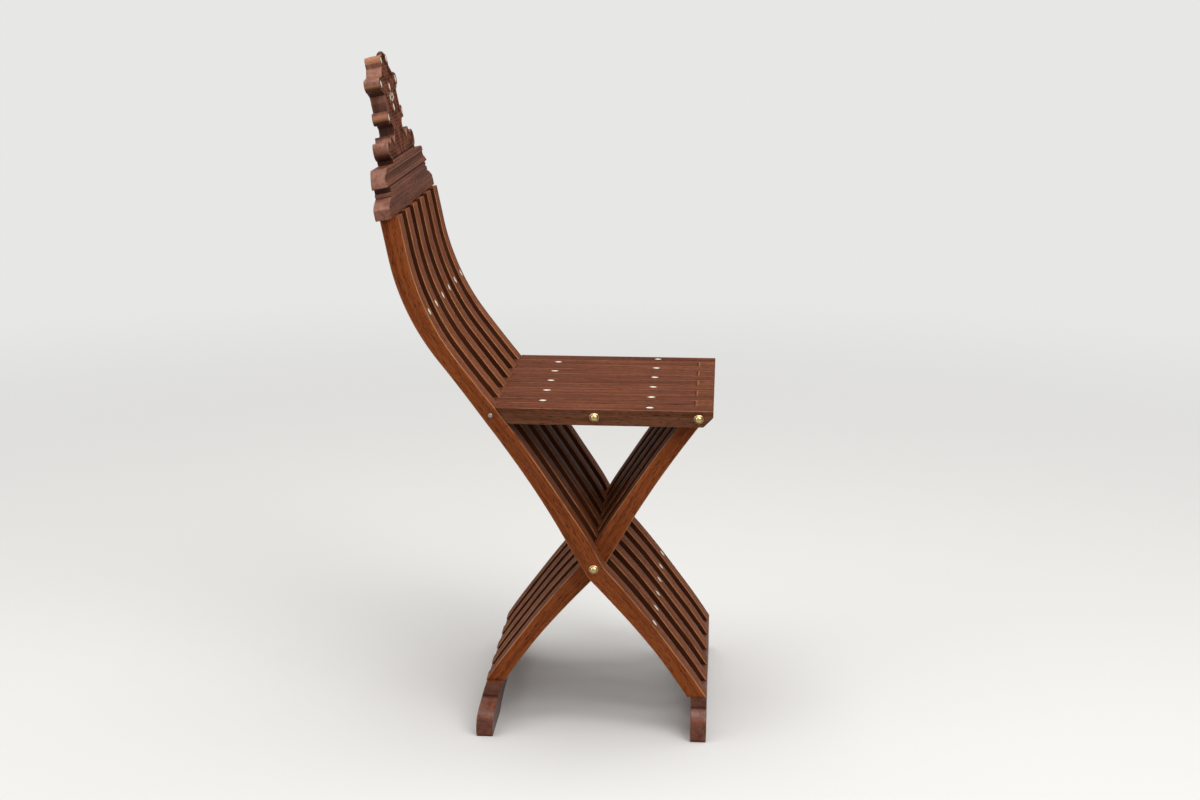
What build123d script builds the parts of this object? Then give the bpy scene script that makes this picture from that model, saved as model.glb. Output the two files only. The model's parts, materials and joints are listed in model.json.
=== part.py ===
from build123d import *

import os
from math import asin, atan2, cos, degrees, hypot, pi, radians, sin, tan

# Folding slat armchair frame of the savonarola kind, in millimetres.
# X points to the front, Y to the sitter's left, Z up.  Every outline is drawn in the side view, with
# the fold axle straight above zero, and the finished pieces are centred over the origin at the end.

# ---------------------------------------------------------------- driving dimensions

# The pack of slats: long and short slats alternate across the chair, each one layer thick
slat_thickness = 30.85
layer_gap = 0.3
long_slat_count = 6

# Pivots in the side view
axle_height = 235.0
seat_pivot_height = 444.0
seat_half_span = 137.0

# Bend of a slat, from the fold axle up: the arm, the straight back, the curved back, the straight top
arm_turn = 8.4
back_straight = 95.0
back_radius = 330.0
back_lean = 11.5
top_straight = 50.0

# Bend of a slat from the fold axle down: a tight turn at the crossing, then the bowed shin
crossing_radius = 50.0
shin_heading = 46.2
shin_radius = 1130.0
shin_length = 300.0

# Depth of a slat seen from the side, at distances along it from the fold axle, up being positive
slat_depths = (
    (-300.0, 20.8),
    (-250.0, 22.3),
    (-200.0, 22.0),
    (-150.0, 20.5),
    (-100.0, 22.5),
    (-50.0, 24.8),
    (0.0, 25.5),
    (38.0, 27.4),
    (85.0, 24.0),
    (140.0, 22.4),
    (200.0, 22.2),
    (251.0, 22.0),
    (290.0, 20.4),
    (330.0, 20.2),
    (370.0, 22.0),
    (420.0, 24.6),
    (460.0, 25.4),
    (500.0, 25.4),
)
slat_edge_round = 1.0
edge_point_margin = 15.0
leg_search_step = 0.001

# Seat slats
seat_slat_depth = 22.0
seat_front_reach = 19.0
seat_end_gap = 0.6
seat_nose_rise = 13.0
seat_nose_run = 13.0
seat_tail_reach = 10.0
seat_tail_top_round = 13.0
seat_tail_low_round = 8.5

# Rods, knobs and screws
rod_radius = 4.0
rod_clearance = 0.05
rod_end_inset = 1.0
knob_radius = 6.2
knob_height = 5.2
knob_rim = 1.0
knob_bore_depth = 2.6
screw_head_radius = 3.1
screw_head_height = 1.8
screw_shank_radius = 1.6
screw_shank_length = 9.0
screw_slot_width = 0.8
screw_slot_depth = 0.7

# Crest, drawn on its own leaning plane: across the chair and up along the lean
crest_thickness = 21.5
crest_front_offset = 6.5
crest_overhang = 16.0
lower_rail_height = 38.0
lower_rail_end_height = 13.0
lower_rail_neck_inset = 35.0
lower_rail_neck_height = 26.0
lower_rail_sweep_share = 0.42
lower_rail_sweep_rise = 2.0
lower_rail_fillet_height = 5.0
lower_rail_fillet_reach = 4.0
upper_rail_height = 24.0
upper_rail_inset = 20.0
upper_rail_taper = 19.0
upper_rail_hollow_share = 0.32
rail_joint_gap = 0.1
moulding_radius = 2.4
moulding_depth = 1.4
lower_rail_mouldings = (22.0, 28.0, 33.5)
upper_rail_mouldings = (6.0, 12.5, 18.5)

# Crown: a waisted trunk, a leaf at each side of its foot and round lobes, each lobe given by its
# place across, its place up and its radius
crown_height = 144.2
crown_foot_half_width = 92.0
crown_foot_height = 6.0
leaf_reach = 104.0
leaf_reach_height = 15.5
leaf_shoulder = (84.0, 26.0)
leaf_hollow = (74.5, 29.5)
leaf_tip = (71.0, 35.5)
leaf_back = (60.5, 31.5)
leaf_root = (50.0, 23.0)
crown_neck_half_width = 34.5
crown_neck_low = 37.0
crown_neck_high = 44.0
crown_waist_half_width = 45.5
crown_waist_low = 52.0
crown_waist_high = 88.0
crown_shoulder_half_width = 40.0
crown_shoulder_height = 114.0
crown_top_half_width = 27.5
crown_top_low = 124.0
crown_top_high = 131.0
crown_cap_half_width = 8.0
crown_cap_slope = 7.0
crown_cap_height = 5.0
crown_lobes = (
    (53.5, 58.0, 8.8),
    (59.5, 103.0, 8.5),
    (18.5, 130.5, 9.0),
)
crown_scoop_radius = 11.0
crown_scoop_depth = 4.0
dowel_radius = 4.0
dowel_length = 26.0
dowel_half_span = 60.0

# Tenons at the ends of the slats
tenon_depth_share = 10.0
tenon_width = 18.0
tenon_length = 20.0
tenon_clearance = 0.1

# Foot boards: an end outline seen from the front, and a thickness seen from the side
foot_overhang = 17.5
front_foot_thickness = 21.5
front_foot_height = 58.0
front_foot_forward = 2.9
front_foot_block = 172.0
front_foot_shoulder = 180.0
rear_foot_thickness = 22.5
rear_foot_height = 62.5
rear_foot_back = 0.2
rear_foot_rake = 9.4
rear_foot_bow = 3.5
rear_foot_block = 150.0
rear_foot_shoulder = 172.0
foot_ledge_height = 43.5
foot_ledge_depth = 2.5
foot_shoulder_top = 37.5
foot_shoulder_low = 23.5
foot_shoulder_bulge = 0.16
foot_cove_sag = 0.12
foot_toe_round = 2.5
foot_arch_half_width = 105.0
foot_arch_height = 12.0

# Bone inlays: pointed ovals let into the wood
inlay_length = 10.5
inlay_width = 8.0
inlay_depth = 1.4
inlay_proud = 0.15
inlay_clearance = 0.03
seat_inlay_distance = 72.0
back_inlay_distance = 409.0
leg_inlay_distance = -112.0
top_inlay_across = 19.5
top_inlay_up = 133.0
upper_inlay_across = 57.0
upper_inlay_up = 103.0
lower_inlay_across = 54.5
lower_inlay_up = 58.0
centre_inlay_rise = 13.8
flower_up = 81.5
flower_petals = 6
flower_half_width = 15.0
flower_half_height = 4.2
petal_length = 6.6
petal_width = 4.4

# ---------------------------------------------------------------- worked out from them

layer_pitch = slat_thickness + layer_gap
layer_count = 2 * long_slat_count - 1
pack_half_width = (layer_pitch * (layer_count - 1) + slat_thickness) / 2
seat_top = seat_pivot_height + seat_slat_depth / 2
seat_bottom = seat_pivot_height - seat_slat_depth / 2
seat_front = seat_half_span + seat_front_reach

arm_rise = seat_pivot_height - axle_height
arm_chord = hypot(arm_rise, seat_half_span)
arm_chord_heading = degrees(atan2(arm_rise, seat_half_span))
arm_start_heading = arm_chord_heading + arm_turn / 2
arm_end_heading = arm_chord_heading - arm_turn / 2
arm_radius = arm_chord / (2 * sin(radians(arm_turn / 2)))
arm_length = arm_radius * radians(arm_turn)
top_heading = 90 - back_lean
back_turn = top_heading - arm_end_heading
back_length = back_radius * radians(back_turn)
crossing_turn = arm_start_heading - shin_heading
crossing_length = crossing_radius * radians(crossing_turn)
shin_turn = degrees(shin_length / shin_radius)

# Runs of the slat's middle line, each a length and a turn of its heading in degrees
runs_up = (
    (arm_length, -arm_turn),
    (back_straight, 0.0),
    (back_length, back_turn),
    (top_straight, 0.0),
)
runs_down = ((crossing_length, -crossing_turn), (shin_length, shin_turn))
slat_top_distance = arm_length + back_straight + back_length + top_straight

hole_radius = rod_radius + rod_clearance
rod_half_length = pack_half_width - rod_end_inset


# ---------------------------------------------------------------- the slat's middle line


def along(distance):
    """Place (x, z) and heading of a long slat's middle line, at a distance from the fold axle."""
    upward = distance >= 0
    x = 0.0
    z = axle_height
    heading = arm_start_heading
    left = abs(distance)
    step_x = -1 if upward else 1
    step_z = 1 if upward else -1
    for length, turn in runs_up if upward else runs_down:
        part = min(left, length)
        part_turn = turn * part / length
        chord = part
        if part_turn:
            chord = part * sin(radians(part_turn / 2)) / radians(part_turn / 2)
        middle = radians(heading + part_turn / 2)
        x += step_x * chord * cos(middle)
        z += step_z * chord * sin(middle)
        heading += part_turn
        left -= part
    return x, z, heading


def depth_at(distance):
    """Depth of the slat at a distance from the fold axle, between the listed ones."""
    for (low, low_depth), (high, high_depth) in zip(slat_depths, slat_depths[1:]):
        if distance <= high:
            share = max(0.0, (distance - low) / (high - low))
            return low_depth + share * (high_depth - low_depth)
    return slat_depths[-1][1]


def edge_point(distance, side):
    """Point on the slat's front (side 1) or rear (side -1) edge."""
    x, z, heading = along(distance)
    offset = side * depth_at(distance) / 2
    return x + offset * sin(radians(heading)), z + offset * cos(radians(heading))


def slat_edge(low, high, side):
    """Smooth edge of the slat between two distances."""
    inner = [d for d, _ in slat_depths if low + edge_point_margin < d < high - edge_point_margin]
    stations = [low] + inner + [high]
    return Spline(*[edge_point(d, side) for d in stations])


def strap(low, high):
    """Outline face of a long slat between two distances, in the side view."""
    rear = slat_edge(low, high, -1)
    front = slat_edge(low, high, 1)
    bottom = Line(rear @ 0, front @ 0)
    top = Line(rear @ 1, front @ 1)
    return make_face([rear, top, front, bottom])


def leg_x(height):
    """Place along X of a long slat's middle line, at a height below the fold axle."""
    low = -crossing_length - shin_length
    high = 0.0
    while high - low > leg_search_step:
        middle = (low + high) / 2
        if along(middle)[1] < height:
            low = middle
        else:
            high = middle
    return along(high)[0]


front_foot_centre = leg_x(front_foot_height) + front_foot_forward
rear_foot_top_centre = leg_x(rear_foot_height) + rear_foot_back
rear_foot_bottom_centre = rear_foot_top_centre + rear_foot_rake


# ---------------------------------------------------------------- shared shapes


def side_solid(face, thickness):
    """A side-view face made solid, its thickness centred on the middle plane."""
    return extrude(Plane.XZ.offset(-thickness / 2) * face, amount=thickness)


def cross_rod(x, z, radius, half_length):
    """A round bar across the chair."""
    return Pos(x, 0, z) * (Rot(90, 0, 0) * Cylinder(radius, 2 * half_length))


def rod_holes(*places):
    """Holes for rods, in the side view."""
    return [Pos(x, z) * Circle(hole_radius) for x, z in places]


def mirrored(shape):
    """The same shape facing the other way along X."""
    return mirror(shape, about=Plane.YZ)


def pointed_oval(length, width):
    """Inlay outline: two equal arcs that meet in points at both ends of the length."""
    over = ThreePointArc((-length / 2, 0), (0, width / 2), (length / 2, 0))
    under = ThreePointArc((length / 2, 0), (0, -width / 2), (-length / 2, 0))
    return make_face([over, under])


def inlay(plane, length=inlay_length, width=inlay_width, grow=0.0):
    """One inlay, let into the surface that the plane lies on, with its length along the plane's X."""
    face = plane.offset(-inlay_depth - grow) * pointed_oval(length + 2 * grow, width + 2 * grow)
    return extrude(face, amount=inlay_depth + inlay_proud + 2 * grow, dir=plane.z_dir)


def pocket(plane, length=inlay_length, width=inlay_width):
    """The pocket that an inlay sits in."""
    return inlay(plane, length, width, inlay_clearance)


def group(shapes):
    """Several separate solids kept as one piece of the assembly."""
    return Compound(list(shapes))


def slat_solid(face):
    """A slat in the middle plane, made from its side view, with its four long arrises eased."""
    body = side_solid(face, slat_thickness)
    arrises = []
    for broad in (body.faces().sort_by(Axis.Y)[0], body.faces().sort_by(Axis.Y)[-1]):
        arrises += broad.outer_wire().edges().sort_by(SortBy.LENGTH)[-2:]
    return fillet(arrises, slat_edge_round)


def rounded(face, corner, radius):
    """A side-view face with the corner nearest to a point rounded."""
    x, z = corner
    return fillet(face.vertices().sort_by_distance(Vector(x, z, 0))[0], radius)


def bowed(start, end, sag):
    """An arc between two points that bulges to the left of the way there by a share of its length."""
    (x0, y0), (x1, y1) = start, end
    middle = ((x0 + x1) / 2 - sag * (y1 - y0), (y0 + y1) / 2 + sag * (x1 - x0))
    return ThreePointArc(start, middle, end)


def quarter_round(start, end, centre):
    """An arc close to a quarter oval, from one point to another round a centre that squares with both."""
    share = cos(radians(45))
    middle = [c + share * (a - c) + share * (b - c) for a, b, c in zip(start, end, centre)]
    return ThreePointArc(start, tuple(middle), end)


# ---------------------------------------------------------------- slats


def edge_plane(distance):
    """Plane on a long slat's front edge, its X running along the slat."""
    x, z, heading = along(distance)
    turn = radians(heading)
    px, pz = edge_point(distance, 1)
    return Plane(origin=(px, 0, pz), x_dir=(-cos(turn), 0, sin(turn)), z_dir=(sin(turn), 0, cos(turn)))


def top_plane():
    """Plane across the top end of a long slat, facing up along the lean."""
    x, z, heading = along(slat_top_distance)
    turn = radians(heading)
    return Plane(origin=(x, 0, z), x_dir=(sin(turn), 0, cos(turn)), z_dir=(-cos(turn), 0, sin(turn)))


def tenon(plane, grow=0.0):
    """A tongue that stands on a plane, its thin way along the plane's X."""
    block = Box(
        tenon_depth_share + 2 * grow,
        tenon_width + 2 * grow,
        tenon_length + grow,
        align=(Align.CENTER, Align.CENTER, Align.MIN),
    )
    return plane * block


def front_foot_plane():
    """Plane on the front foot board's top, facing down into it."""
    return Plane(origin=(front_foot_centre, 0, front_foot_height), x_dir=(1, 0, 0), z_dir=(0, 0, -1))


def rear_foot_plane():
    """Plane on the rear foot board's top, facing down into it."""
    return Plane(origin=(-rear_foot_top_centre, 0, rear_foot_height), x_dir=(1, 0, 0), z_dir=(0, 0, -1))


def long_slat():
    """A long slat in the middle plane: back, arm and front leg in one bent board."""
    face = strap(-crossing_length - shin_length, slat_top_distance)
    face = split(face, Plane.XZ.offset(-front_foot_height), keep=Keep.BOTTOM)
    face = face - rod_holes((0, axle_height), (-seat_half_span, seat_pivot_height))
    body = slat_solid(face)
    body = body + tenon(top_plane()) + tenon(front_foot_plane())
    return body - [pocket(edge_plane(distance)) for distance in (back_inlay_distance, leg_inlay_distance)]


def short_slat():
    """A short slat in the middle plane: front arm and rear leg in one bent board."""
    face = mirrored(strap(-crossing_length - shin_length, arm_length + seat_slat_depth))
    face = split(face, Plane.XZ.offset(-rear_foot_height), keep=Keep.BOTTOM)
    face = split(face, Plane.XZ.offset(-seat_top), keep=Keep.TOP)
    face = split(face, Plane.YZ.offset(seat_front), keep=Keep.BOTTOM)
    face = face - rod_holes((0, axle_height), (seat_half_span, seat_pivot_height))
    return slat_solid(face) + tenon(rear_foot_plane())


def arm_edge_x(z, offset):
    """Place along X of a line parallel to the long slat's arm at the seat, at a height."""
    slope = radians(arm_end_heading)
    return -seat_half_span - (z - seat_pivot_height) / tan(slope) + offset / sin(slope)


def seat_end(offset):
    """The two corners, bottom first, of a seat slat's end cut along the arm's slope."""
    low = (arm_edge_x(seat_bottom, offset), seat_bottom)
    high = (arm_edge_x(seat_top, offset), seat_top)
    return low, high


def seat_plane(x):
    """Plane on the seat's top, its X along the slats."""
    return Plane(origin=(x, 0, seat_top), x_dir=(1, 0, 0), z_dir=(0, 0, 1))


def end_offset():
    """Distance from an arm's middle line to the seat slat end that meets its edge."""
    return depth_at(arm_length) / 2 + seat_end_gap


def front_seat_slat():
    """A seat slat hinged at the front rod, its rear end cut to meet the long slat's front edge."""
    rear_low, rear_high = seat_end(end_offset())
    nose_low = (seat_front - seat_nose_run, seat_bottom)
    nose_high = (seat_front, seat_bottom + seat_nose_rise)
    face = make_face(Polyline(rear_low, nose_low, nose_high, (seat_front, seat_top), rear_high, close=True))
    face = face - rod_holes((seat_half_span, seat_pivot_height), (0, seat_pivot_height))
    return slat_solid(face) - pocket(seat_plane(seat_inlay_distance))


def rear_seat_slat():
    """A seat slat hinged at the rear rod, its front end cut to meet the short slat's rear edge."""
    front_low, front_high = [(-x, z) for x, z in seat_end(end_offset())]
    tail = -seat_half_span - seat_tail_reach
    face = make_face(Polyline((tail, seat_bottom), front_low, front_high, (tail, seat_top), close=True))
    face = rounded(face, (tail, seat_top), seat_tail_top_round)
    face = rounded(face, (tail, seat_bottom), seat_tail_low_round)
    face = face - rod_holes((-seat_half_span, seat_pivot_height), (0, seat_pivot_height))
    return slat_solid(face) - pocket(seat_plane(-seat_inlay_distance))


# ---------------------------------------------------------------- crest


def crest_plane(depth=0.0):
    """The crest's front face: X across the chair, Y up along the lean; depth moves it backwards."""
    end = top_plane()
    front = end.origin + end.x_dir * (crest_front_offset - depth)
    return Plane(origin=front, x_dir=(0, 1, 0), z_dir=end.x_dir)


def both_ways(half):
    """A half outline and its mirror image across the chair."""
    return half + mirror(half, about=Plane.YZ)


def crest_board(face):
    """A crest outline made solid, backwards from the crest's front face."""
    plane = crest_plane()
    return extrude(plane * face, amount=-crest_thickness, dir=plane.z_dir)


def moulding(up, half_length):
    """A round groove across the crest's front face."""
    plane = crest_plane(moulding_depth - moulding_radius)
    bar = Rot(0, 90, 0) * Cylinder(moulding_radius, 2 * half_length)
    return plane * (Pos(0, up, 0) * bar)


def slat_places():
    """Places across the chair of the long slats' middles."""
    return [(2 * n - long_slat_count + 1) * layer_pitch for n in range(long_slat_count)]


def leg_places():
    """Places across the chair of the short slats' middles."""
    return [(2 * n - long_slat_count + 2) * layer_pitch for n in range(long_slat_count - 1)]


def mortises(plane, places):
    """Holes for tenons at places across the chair."""
    hole = tenon(plane, tenon_clearance)
    return [Pos(0, y, 0) * hole for y in places]


def dowel(up, across, radius, length):
    """A pin along the crest's lean, in the middle of its thickness, centred on a joint."""
    plane = crest_plane(crest_thickness / 2)
    pin = Rot(90, 0, 0) * Cylinder(radius, length)
    return plane * (Pos(across, up, 0) * pin)


def dowel_ups():
    """Heights of the two joints in the crest that dowels cross."""
    return lower_rail_height, lower_rail_height + rail_joint_gap + upper_rail_height


def dowel_holes():
    """Holes for all dowels, with end clearance."""
    grown = rod_clearance
    return [
        dowel(up, side * dowel_half_span, dowel_radius + grown, dowel_length + 2 * tenon_clearance)
        for up in dowel_ups()
        for side in (-1, 1)
    ]


def crest_lower_rail():
    """The bottom rail of the crest, which the long slats' top tenons enter."""
    half = pack_half_width + crest_overhang
    neck = half - lower_rail_neck_inset
    fillet_half = neck + lower_rail_fillet_reach
    fillet_top = lower_rail_neck_height + lower_rail_fillet_height
    sweep_height = (lower_rail_end_height + lower_rail_neck_height) / 2 + lower_rail_sweep_rise
    outline = [
        Line((0, 0), (half, 0)),
        Line((half, 0), (half, lower_rail_end_height)),
        ThreePointArc(
            (half, lower_rail_end_height),
            (half - lower_rail_neck_inset * lower_rail_sweep_share, sweep_height),
            (neck, lower_rail_neck_height),
        ),
        Polyline(
            (neck, lower_rail_neck_height),
            (fillet_half, lower_rail_neck_height),
            (fillet_half, fillet_top),
            (neck, fillet_top),
            (neck, lower_rail_height),
            (0, lower_rail_height),
            (0, 0),
        ),
    ]
    body = crest_board(both_ways(make_face(outline)))
    body = body - [moulding(up, half) for up in lower_rail_mouldings]
    body = body - mortises(top_plane(), slat_places())
    return body - dowel_holes()


def crest_upper_rail():
    """The moulded cap rail of the crest, wider than the rail's neck below it."""
    half = pack_half_width + crest_overhang - upper_rail_inset
    foot = lower_rail_height + rail_joint_gap
    top = foot + upper_rail_height
    side = ThreePointArc(
        (half, foot),
        (half - upper_rail_taper * upper_rail_hollow_share, (foot + top) / 2),
        (half - upper_rail_taper, top),
    )
    outline = [Line((0, foot), (half, foot)), side, Line((half - upper_rail_taper, top), (0, top)), Line((0, top), (0, foot))]
    body = crest_board(both_ways(make_face(outline)))
    body = body - [moulding(foot + up, half) for up in upper_rail_mouldings]
    return body - dowel_holes()


def crown_trunk():
    """The crown's middle outline, half of it, from the foot to the top."""
    return make_face(
        Polyline(
            (0, 0),
            (leaf_root[0], 0),
            leaf_root,
            (crown_neck_half_width, crown_neck_low),
            (crown_neck_half_width, crown_neck_high),
            (crown_waist_half_width, crown_waist_low),
            (crown_waist_half_width, crown_waist_high),
            (crown_lobes[1][0], crown_lobes[1][1] - crown_lobes[1][2]),
            (crown_lobes[1][0], crown_lobes[1][1] + crown_lobes[1][2]),
            (crown_shoulder_half_width, crown_shoulder_height),
            (crown_top_half_width, crown_top_low),
            (crown_top_half_width, crown_top_high),
            (crown_cap_half_width + crown_cap_slope, crown_height - crown_cap_height),
            (crown_cap_half_width, crown_height),
            (0, crown_height),
            close=True,
        )
    )


def crown_leaf():
    """The leaf at the crown's foot, half of the foot with it, its tip curling away from the neck."""
    heel = (crown_foot_half_width, crown_foot_height)
    outline = [
        Polyline((0, 0), (crown_foot_half_width, 0), heel),
        ThreePointArc(heel, (leaf_reach, leaf_reach_height), leaf_shoulder),
        ThreePointArc(leaf_shoulder, leaf_hollow, leaf_tip),
        ThreePointArc(leaf_tip, leaf_back, leaf_root),
        Polyline(leaf_root, (0, leaf_root[1]), (0, 0)),
    ]
    return make_face(outline)


def crest_crown():
    """The carved crown: a trunk with rounded lobes, a leaf at each side and a scooped top."""
    face = crown_trunk() + crown_leaf()
    for across, up, radius in crown_lobes:
        face = face + Pos(across, up) * Circle(radius)
    foot = lower_rail_height + rail_joint_gap + upper_rail_height + rail_joint_gap
    body = crest_board(Pos(0, foot) * both_ways(face))
    scoop_plane = crest_plane(crown_scoop_depth - crown_scoop_radius)
    scoop = scoop_plane * (Pos(0, foot + crown_height, 0) * Sphere(crown_scoop_radius))
    body = body - scoop - dowel_holes()
    for plane, size in crest_inlay_planes() + flower_planes():
        body = body - pocket(plane, *size)
    return body


def crest_inlay_plane(across, up, turn=0.0):
    """Plane on the crown's front face, its X along an inlay's length."""
    base = crest_plane()
    foot = lower_rail_height + 2 * rail_joint_gap + upper_rail_height
    origin = base.origin + base.x_dir * across + base.y_dir * (foot + up)
    angle = radians(turn)
    x_dir = base.y_dir * cos(angle) + base.x_dir * sin(angle)
    return Plane(origin=origin, x_dir=x_dir, z_dir=base.z_dir)


def crest_inlay_planes():
    """Planes and sizes of the single inlays on the crown."""
    size = (inlay_length, inlay_width)
    places = [(0, flower_up - centre_inlay_rise), (0, flower_up + centre_inlay_rise)]
    for side in (-1, 1):
        places.append((side * top_inlay_across, top_inlay_up))
        places.append((side * upper_inlay_across, upper_inlay_up))
        places.append((side * lower_inlay_across, lower_inlay_up))
    return [(crest_inlay_plane(across, up), size) for across, up in places]


def flower_planes():
    """Planes and sizes of the flower's petals, set round a flat oval."""
    planes = []
    for n in range(flower_petals):
        angle = 2 * pi * (n + 0.5) / flower_petals
        across = flower_half_width * cos(angle)
        up = flower_up + flower_half_height * sin(angle)
        planes.append((crest_inlay_plane(across, up), (petal_length, petal_width)))
    return planes


# ---------------------------------------------------------------- foot boards


def foot_end(height, block, shoulder):
    """Half of a foot board seen from the front: toe, round shoulder, cove, ledge and end block."""
    half = pack_half_width + foot_overhang
    shoulder_low = (half, foot_shoulder_low)
    shoulder_top = (shoulder, foot_shoulder_top)
    ledge = (block + foot_ledge_depth, foot_ledge_height)
    toe = (half - foot_toe_round, 0)
    toe_top = (half, foot_toe_round)
    outline = [
        ThreePointArc((0, foot_arch_height), arch_quarter(), (foot_arch_half_width, 0)),
        Line((foot_arch_half_width, 0), toe),
        quarter_round(toe, toe_top, (toe[0], toe_top[1])),
        Line(toe_top, shoulder_low),
        bowed(shoulder_low, shoulder_top, -foot_shoulder_bulge),
        bowed(shoulder_top, ledge, foot_cove_sag),
        Polyline(ledge, (block, foot_ledge_height), (block, height), (0, height), (0, foot_arch_height)),
    ]
    return make_face(outline)


def arch_quarter():
    """Point a quarter of the way along the arch under a foot board."""
    radius = (foot_arch_half_width**2 + foot_arch_height**2) / (2 * foot_arch_height)
    half_turn = asin(foot_arch_half_width / radius) / 2
    return radius * sin(half_turn), foot_arch_height - radius * (1 - cos(half_turn))


def foot_from_outlines(side_face, end_face):
    """A foot board cut to its side outline and its front outline."""
    bar = side_solid(side_face, 2 * (pack_half_width + foot_overhang))
    front = Plane(origin=(-seat_front, 0, 0), x_dir=(0, 1, 0), z_dir=(1, 0, 0)) * both_ways(end_face)
    cutter = extrude(front, amount=2 * seat_front)
    return bar & cutter


def front_foot_board():
    """The board that the long slats stand on, upright."""
    face = Pos(front_foot_centre, front_foot_height / 2) * Rectangle(front_foot_thickness, front_foot_height)
    body = foot_from_outlines(face, foot_end(front_foot_height, front_foot_block, front_foot_shoulder))
    return body - mortises(front_foot_plane(), slat_places())


def rear_foot_side():
    """Side view of the rear foot board, bowed backwards."""
    half = rear_foot_thickness / 2
    middle = (rear_foot_top_centre + rear_foot_bottom_centre) / 2 + rear_foot_bow
    rear, front = [
        ThreePointArc(
            (-rear_foot_bottom_centre + offset, 0),
            (-middle + offset, rear_foot_height / 2),
            (-rear_foot_top_centre + offset, rear_foot_height),
        )
        for offset in (-half, half)
    ]
    return make_face([rear, front, Line(rear @ 0, front @ 0), Line(rear @ 1, front @ 1)])


def rear_foot_board():
    """The board that the short slats stand on, bowed so that it continues their bend."""
    end = foot_end(rear_foot_height, rear_foot_block, rear_foot_shoulder)
    body = foot_from_outlines(rear_foot_side(), end)
    return body - mortises(rear_foot_plane(), leg_places())


# ---------------------------------------------------------------- rods, knobs and screws


def knob_pair(x, z):
    """Two domed knobs, one on each outer face of the pack, that cap a rod's ends."""
    dome_height = knob_height - knob_rim
    sphere_radius = (knob_radius**2 + dome_height**2) / (2 * dome_height)
    rim = Cylinder(knob_radius, knob_rim, align=(Align.CENTER, Align.CENTER, Align.MIN))
    ball = Pos(0, 0, knob_height - sphere_radius) * Sphere(sphere_radius)
    above = Pos(0, 0, knob_rim) * Cylinder(
        knob_radius, knob_height, align=(Align.CENTER, Align.CENTER, Align.MIN)
    )
    bore = Cylinder(hole_radius, knob_bore_depth + tenon_clearance, align=(Align.CENTER, Align.CENTER, Align.MIN))
    knob = rim + (ball & above) - bore
    near = Pos(x, -pack_half_width, z) * (Rot(90, 0, 0) * knob)
    far = Pos(x, pack_half_width, z) * (Rot(-90, 0, 0) * knob)
    return group([near, far])


def knobbed_rod(x, z):
    """A rod across the whole pack whose ends enter the knobs."""
    return cross_rod(x, z, rod_radius, pack_half_width + knob_bore_depth)


def fold_axle():
    """The rod at the crossing, which the short slats turn on."""
    return knobbed_rod(0, axle_height)


def front_seat_rod():
    """The rod at the front of the seat, fixed in the front seat slats."""
    return knobbed_rod(seat_half_span, seat_pivot_height)


def middle_seat_pins():
    """The seat's middle hinge, one pin in each front seat slat, the outer two reaching into knobs."""
    pins = []
    for n, y in enumerate(slat_places()):
        low = y - slat_thickness / 2 + rod_end_inset
        high = y + slat_thickness / 2 - rod_end_inset
        if n == 0:
            low = -pack_half_width - knob_bore_depth
        if n == long_slat_count - 1:
            high = pack_half_width + knob_bore_depth
        pin = cross_rod(0, seat_pivot_height, rod_radius, (high - low) / 2)
        pins.append(Pos(0, (low + high) / 2, 0) * pin)
    return group(pins)


def rear_seat_rod():
    """The rod at the rear of the seat, fixed in the long slats, drilled at both ends for screws."""
    body = cross_rod(-seat_half_span, seat_pivot_height, rod_radius, rod_half_length)
    drill = cross_rod(
        -seat_half_span, seat_pivot_height, screw_shank_radius + rod_clearance, screw_shank_length
    )
    return body - [Pos(0, side * pack_half_width, 0) * drill for side in (-1, 1)]


def rear_rod_screws():
    """Two round-headed screws that close the rear rod's ends."""
    seat = rod_radius + rod_clearance
    head = Cylinder(screw_head_radius, screw_head_height, align=(Align.CENTER, Align.CENTER, Align.MIN))
    head = fillet(head.edges().filter_by(GeomType.CIRCLE).sort_by(Axis.Z)[-1], screw_head_height * 0.6)
    slot = Pos(0, 0, screw_head_height) * Box(2 * seat, screw_slot_width, 2 * screw_slot_depth)
    shank = Cylinder(
        screw_shank_radius,
        rod_end_inset + screw_shank_length * 0.7,
        align=(Align.CENTER, Align.CENTER, Align.MAX),
    )
    screw = Pos(0, 0, -rod_end_inset) * (head - slot) + shank
    near = Pos(-seat_half_span, -pack_half_width, seat_pivot_height) * (Rot(90, 0, 0) * screw)
    far = Pos(-seat_half_span, pack_half_width, seat_pivot_height) * (Rot(-90, 0, 0) * screw)
    return group([near, far])


# ---------------------------------------------------------------- inlays


def slat_inlays(distance):
    """The same inlay on the front edge of each long slat."""
    piece = inlay(edge_plane(distance))
    return group([Pos(0, y, 0) * piece for y in slat_places()])


def front_seat_inlays():
    """Inlays of the front seat slats."""
    return group([Pos(0, y, 0) * inlay(seat_plane(seat_inlay_distance)) for y in slat_places()])


def rear_seat_inlays():
    """Inlays of the rear seat slats."""
    return group([Pos(0, y, 0) * inlay(seat_plane(-seat_inlay_distance)) for y in leg_places()])


def crest_inlays():
    """The crown's single inlays."""
    return group([inlay(plane, *size) for plane, size in crest_inlay_planes()])


def crest_flower():
    """The petals of the flower in the crown's middle."""
    return group([inlay(plane, *size) for plane, size in flower_planes()])


def crest_dowels():
    """Dowels that hold the crest's three boards together."""
    return group(
        dowel(up, side * dowel_half_span, dowel_radius, dowel_length) for up in dowel_ups() for side in (-1, 1)
    )


# ---------------------------------------------------------------- assembly


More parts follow.
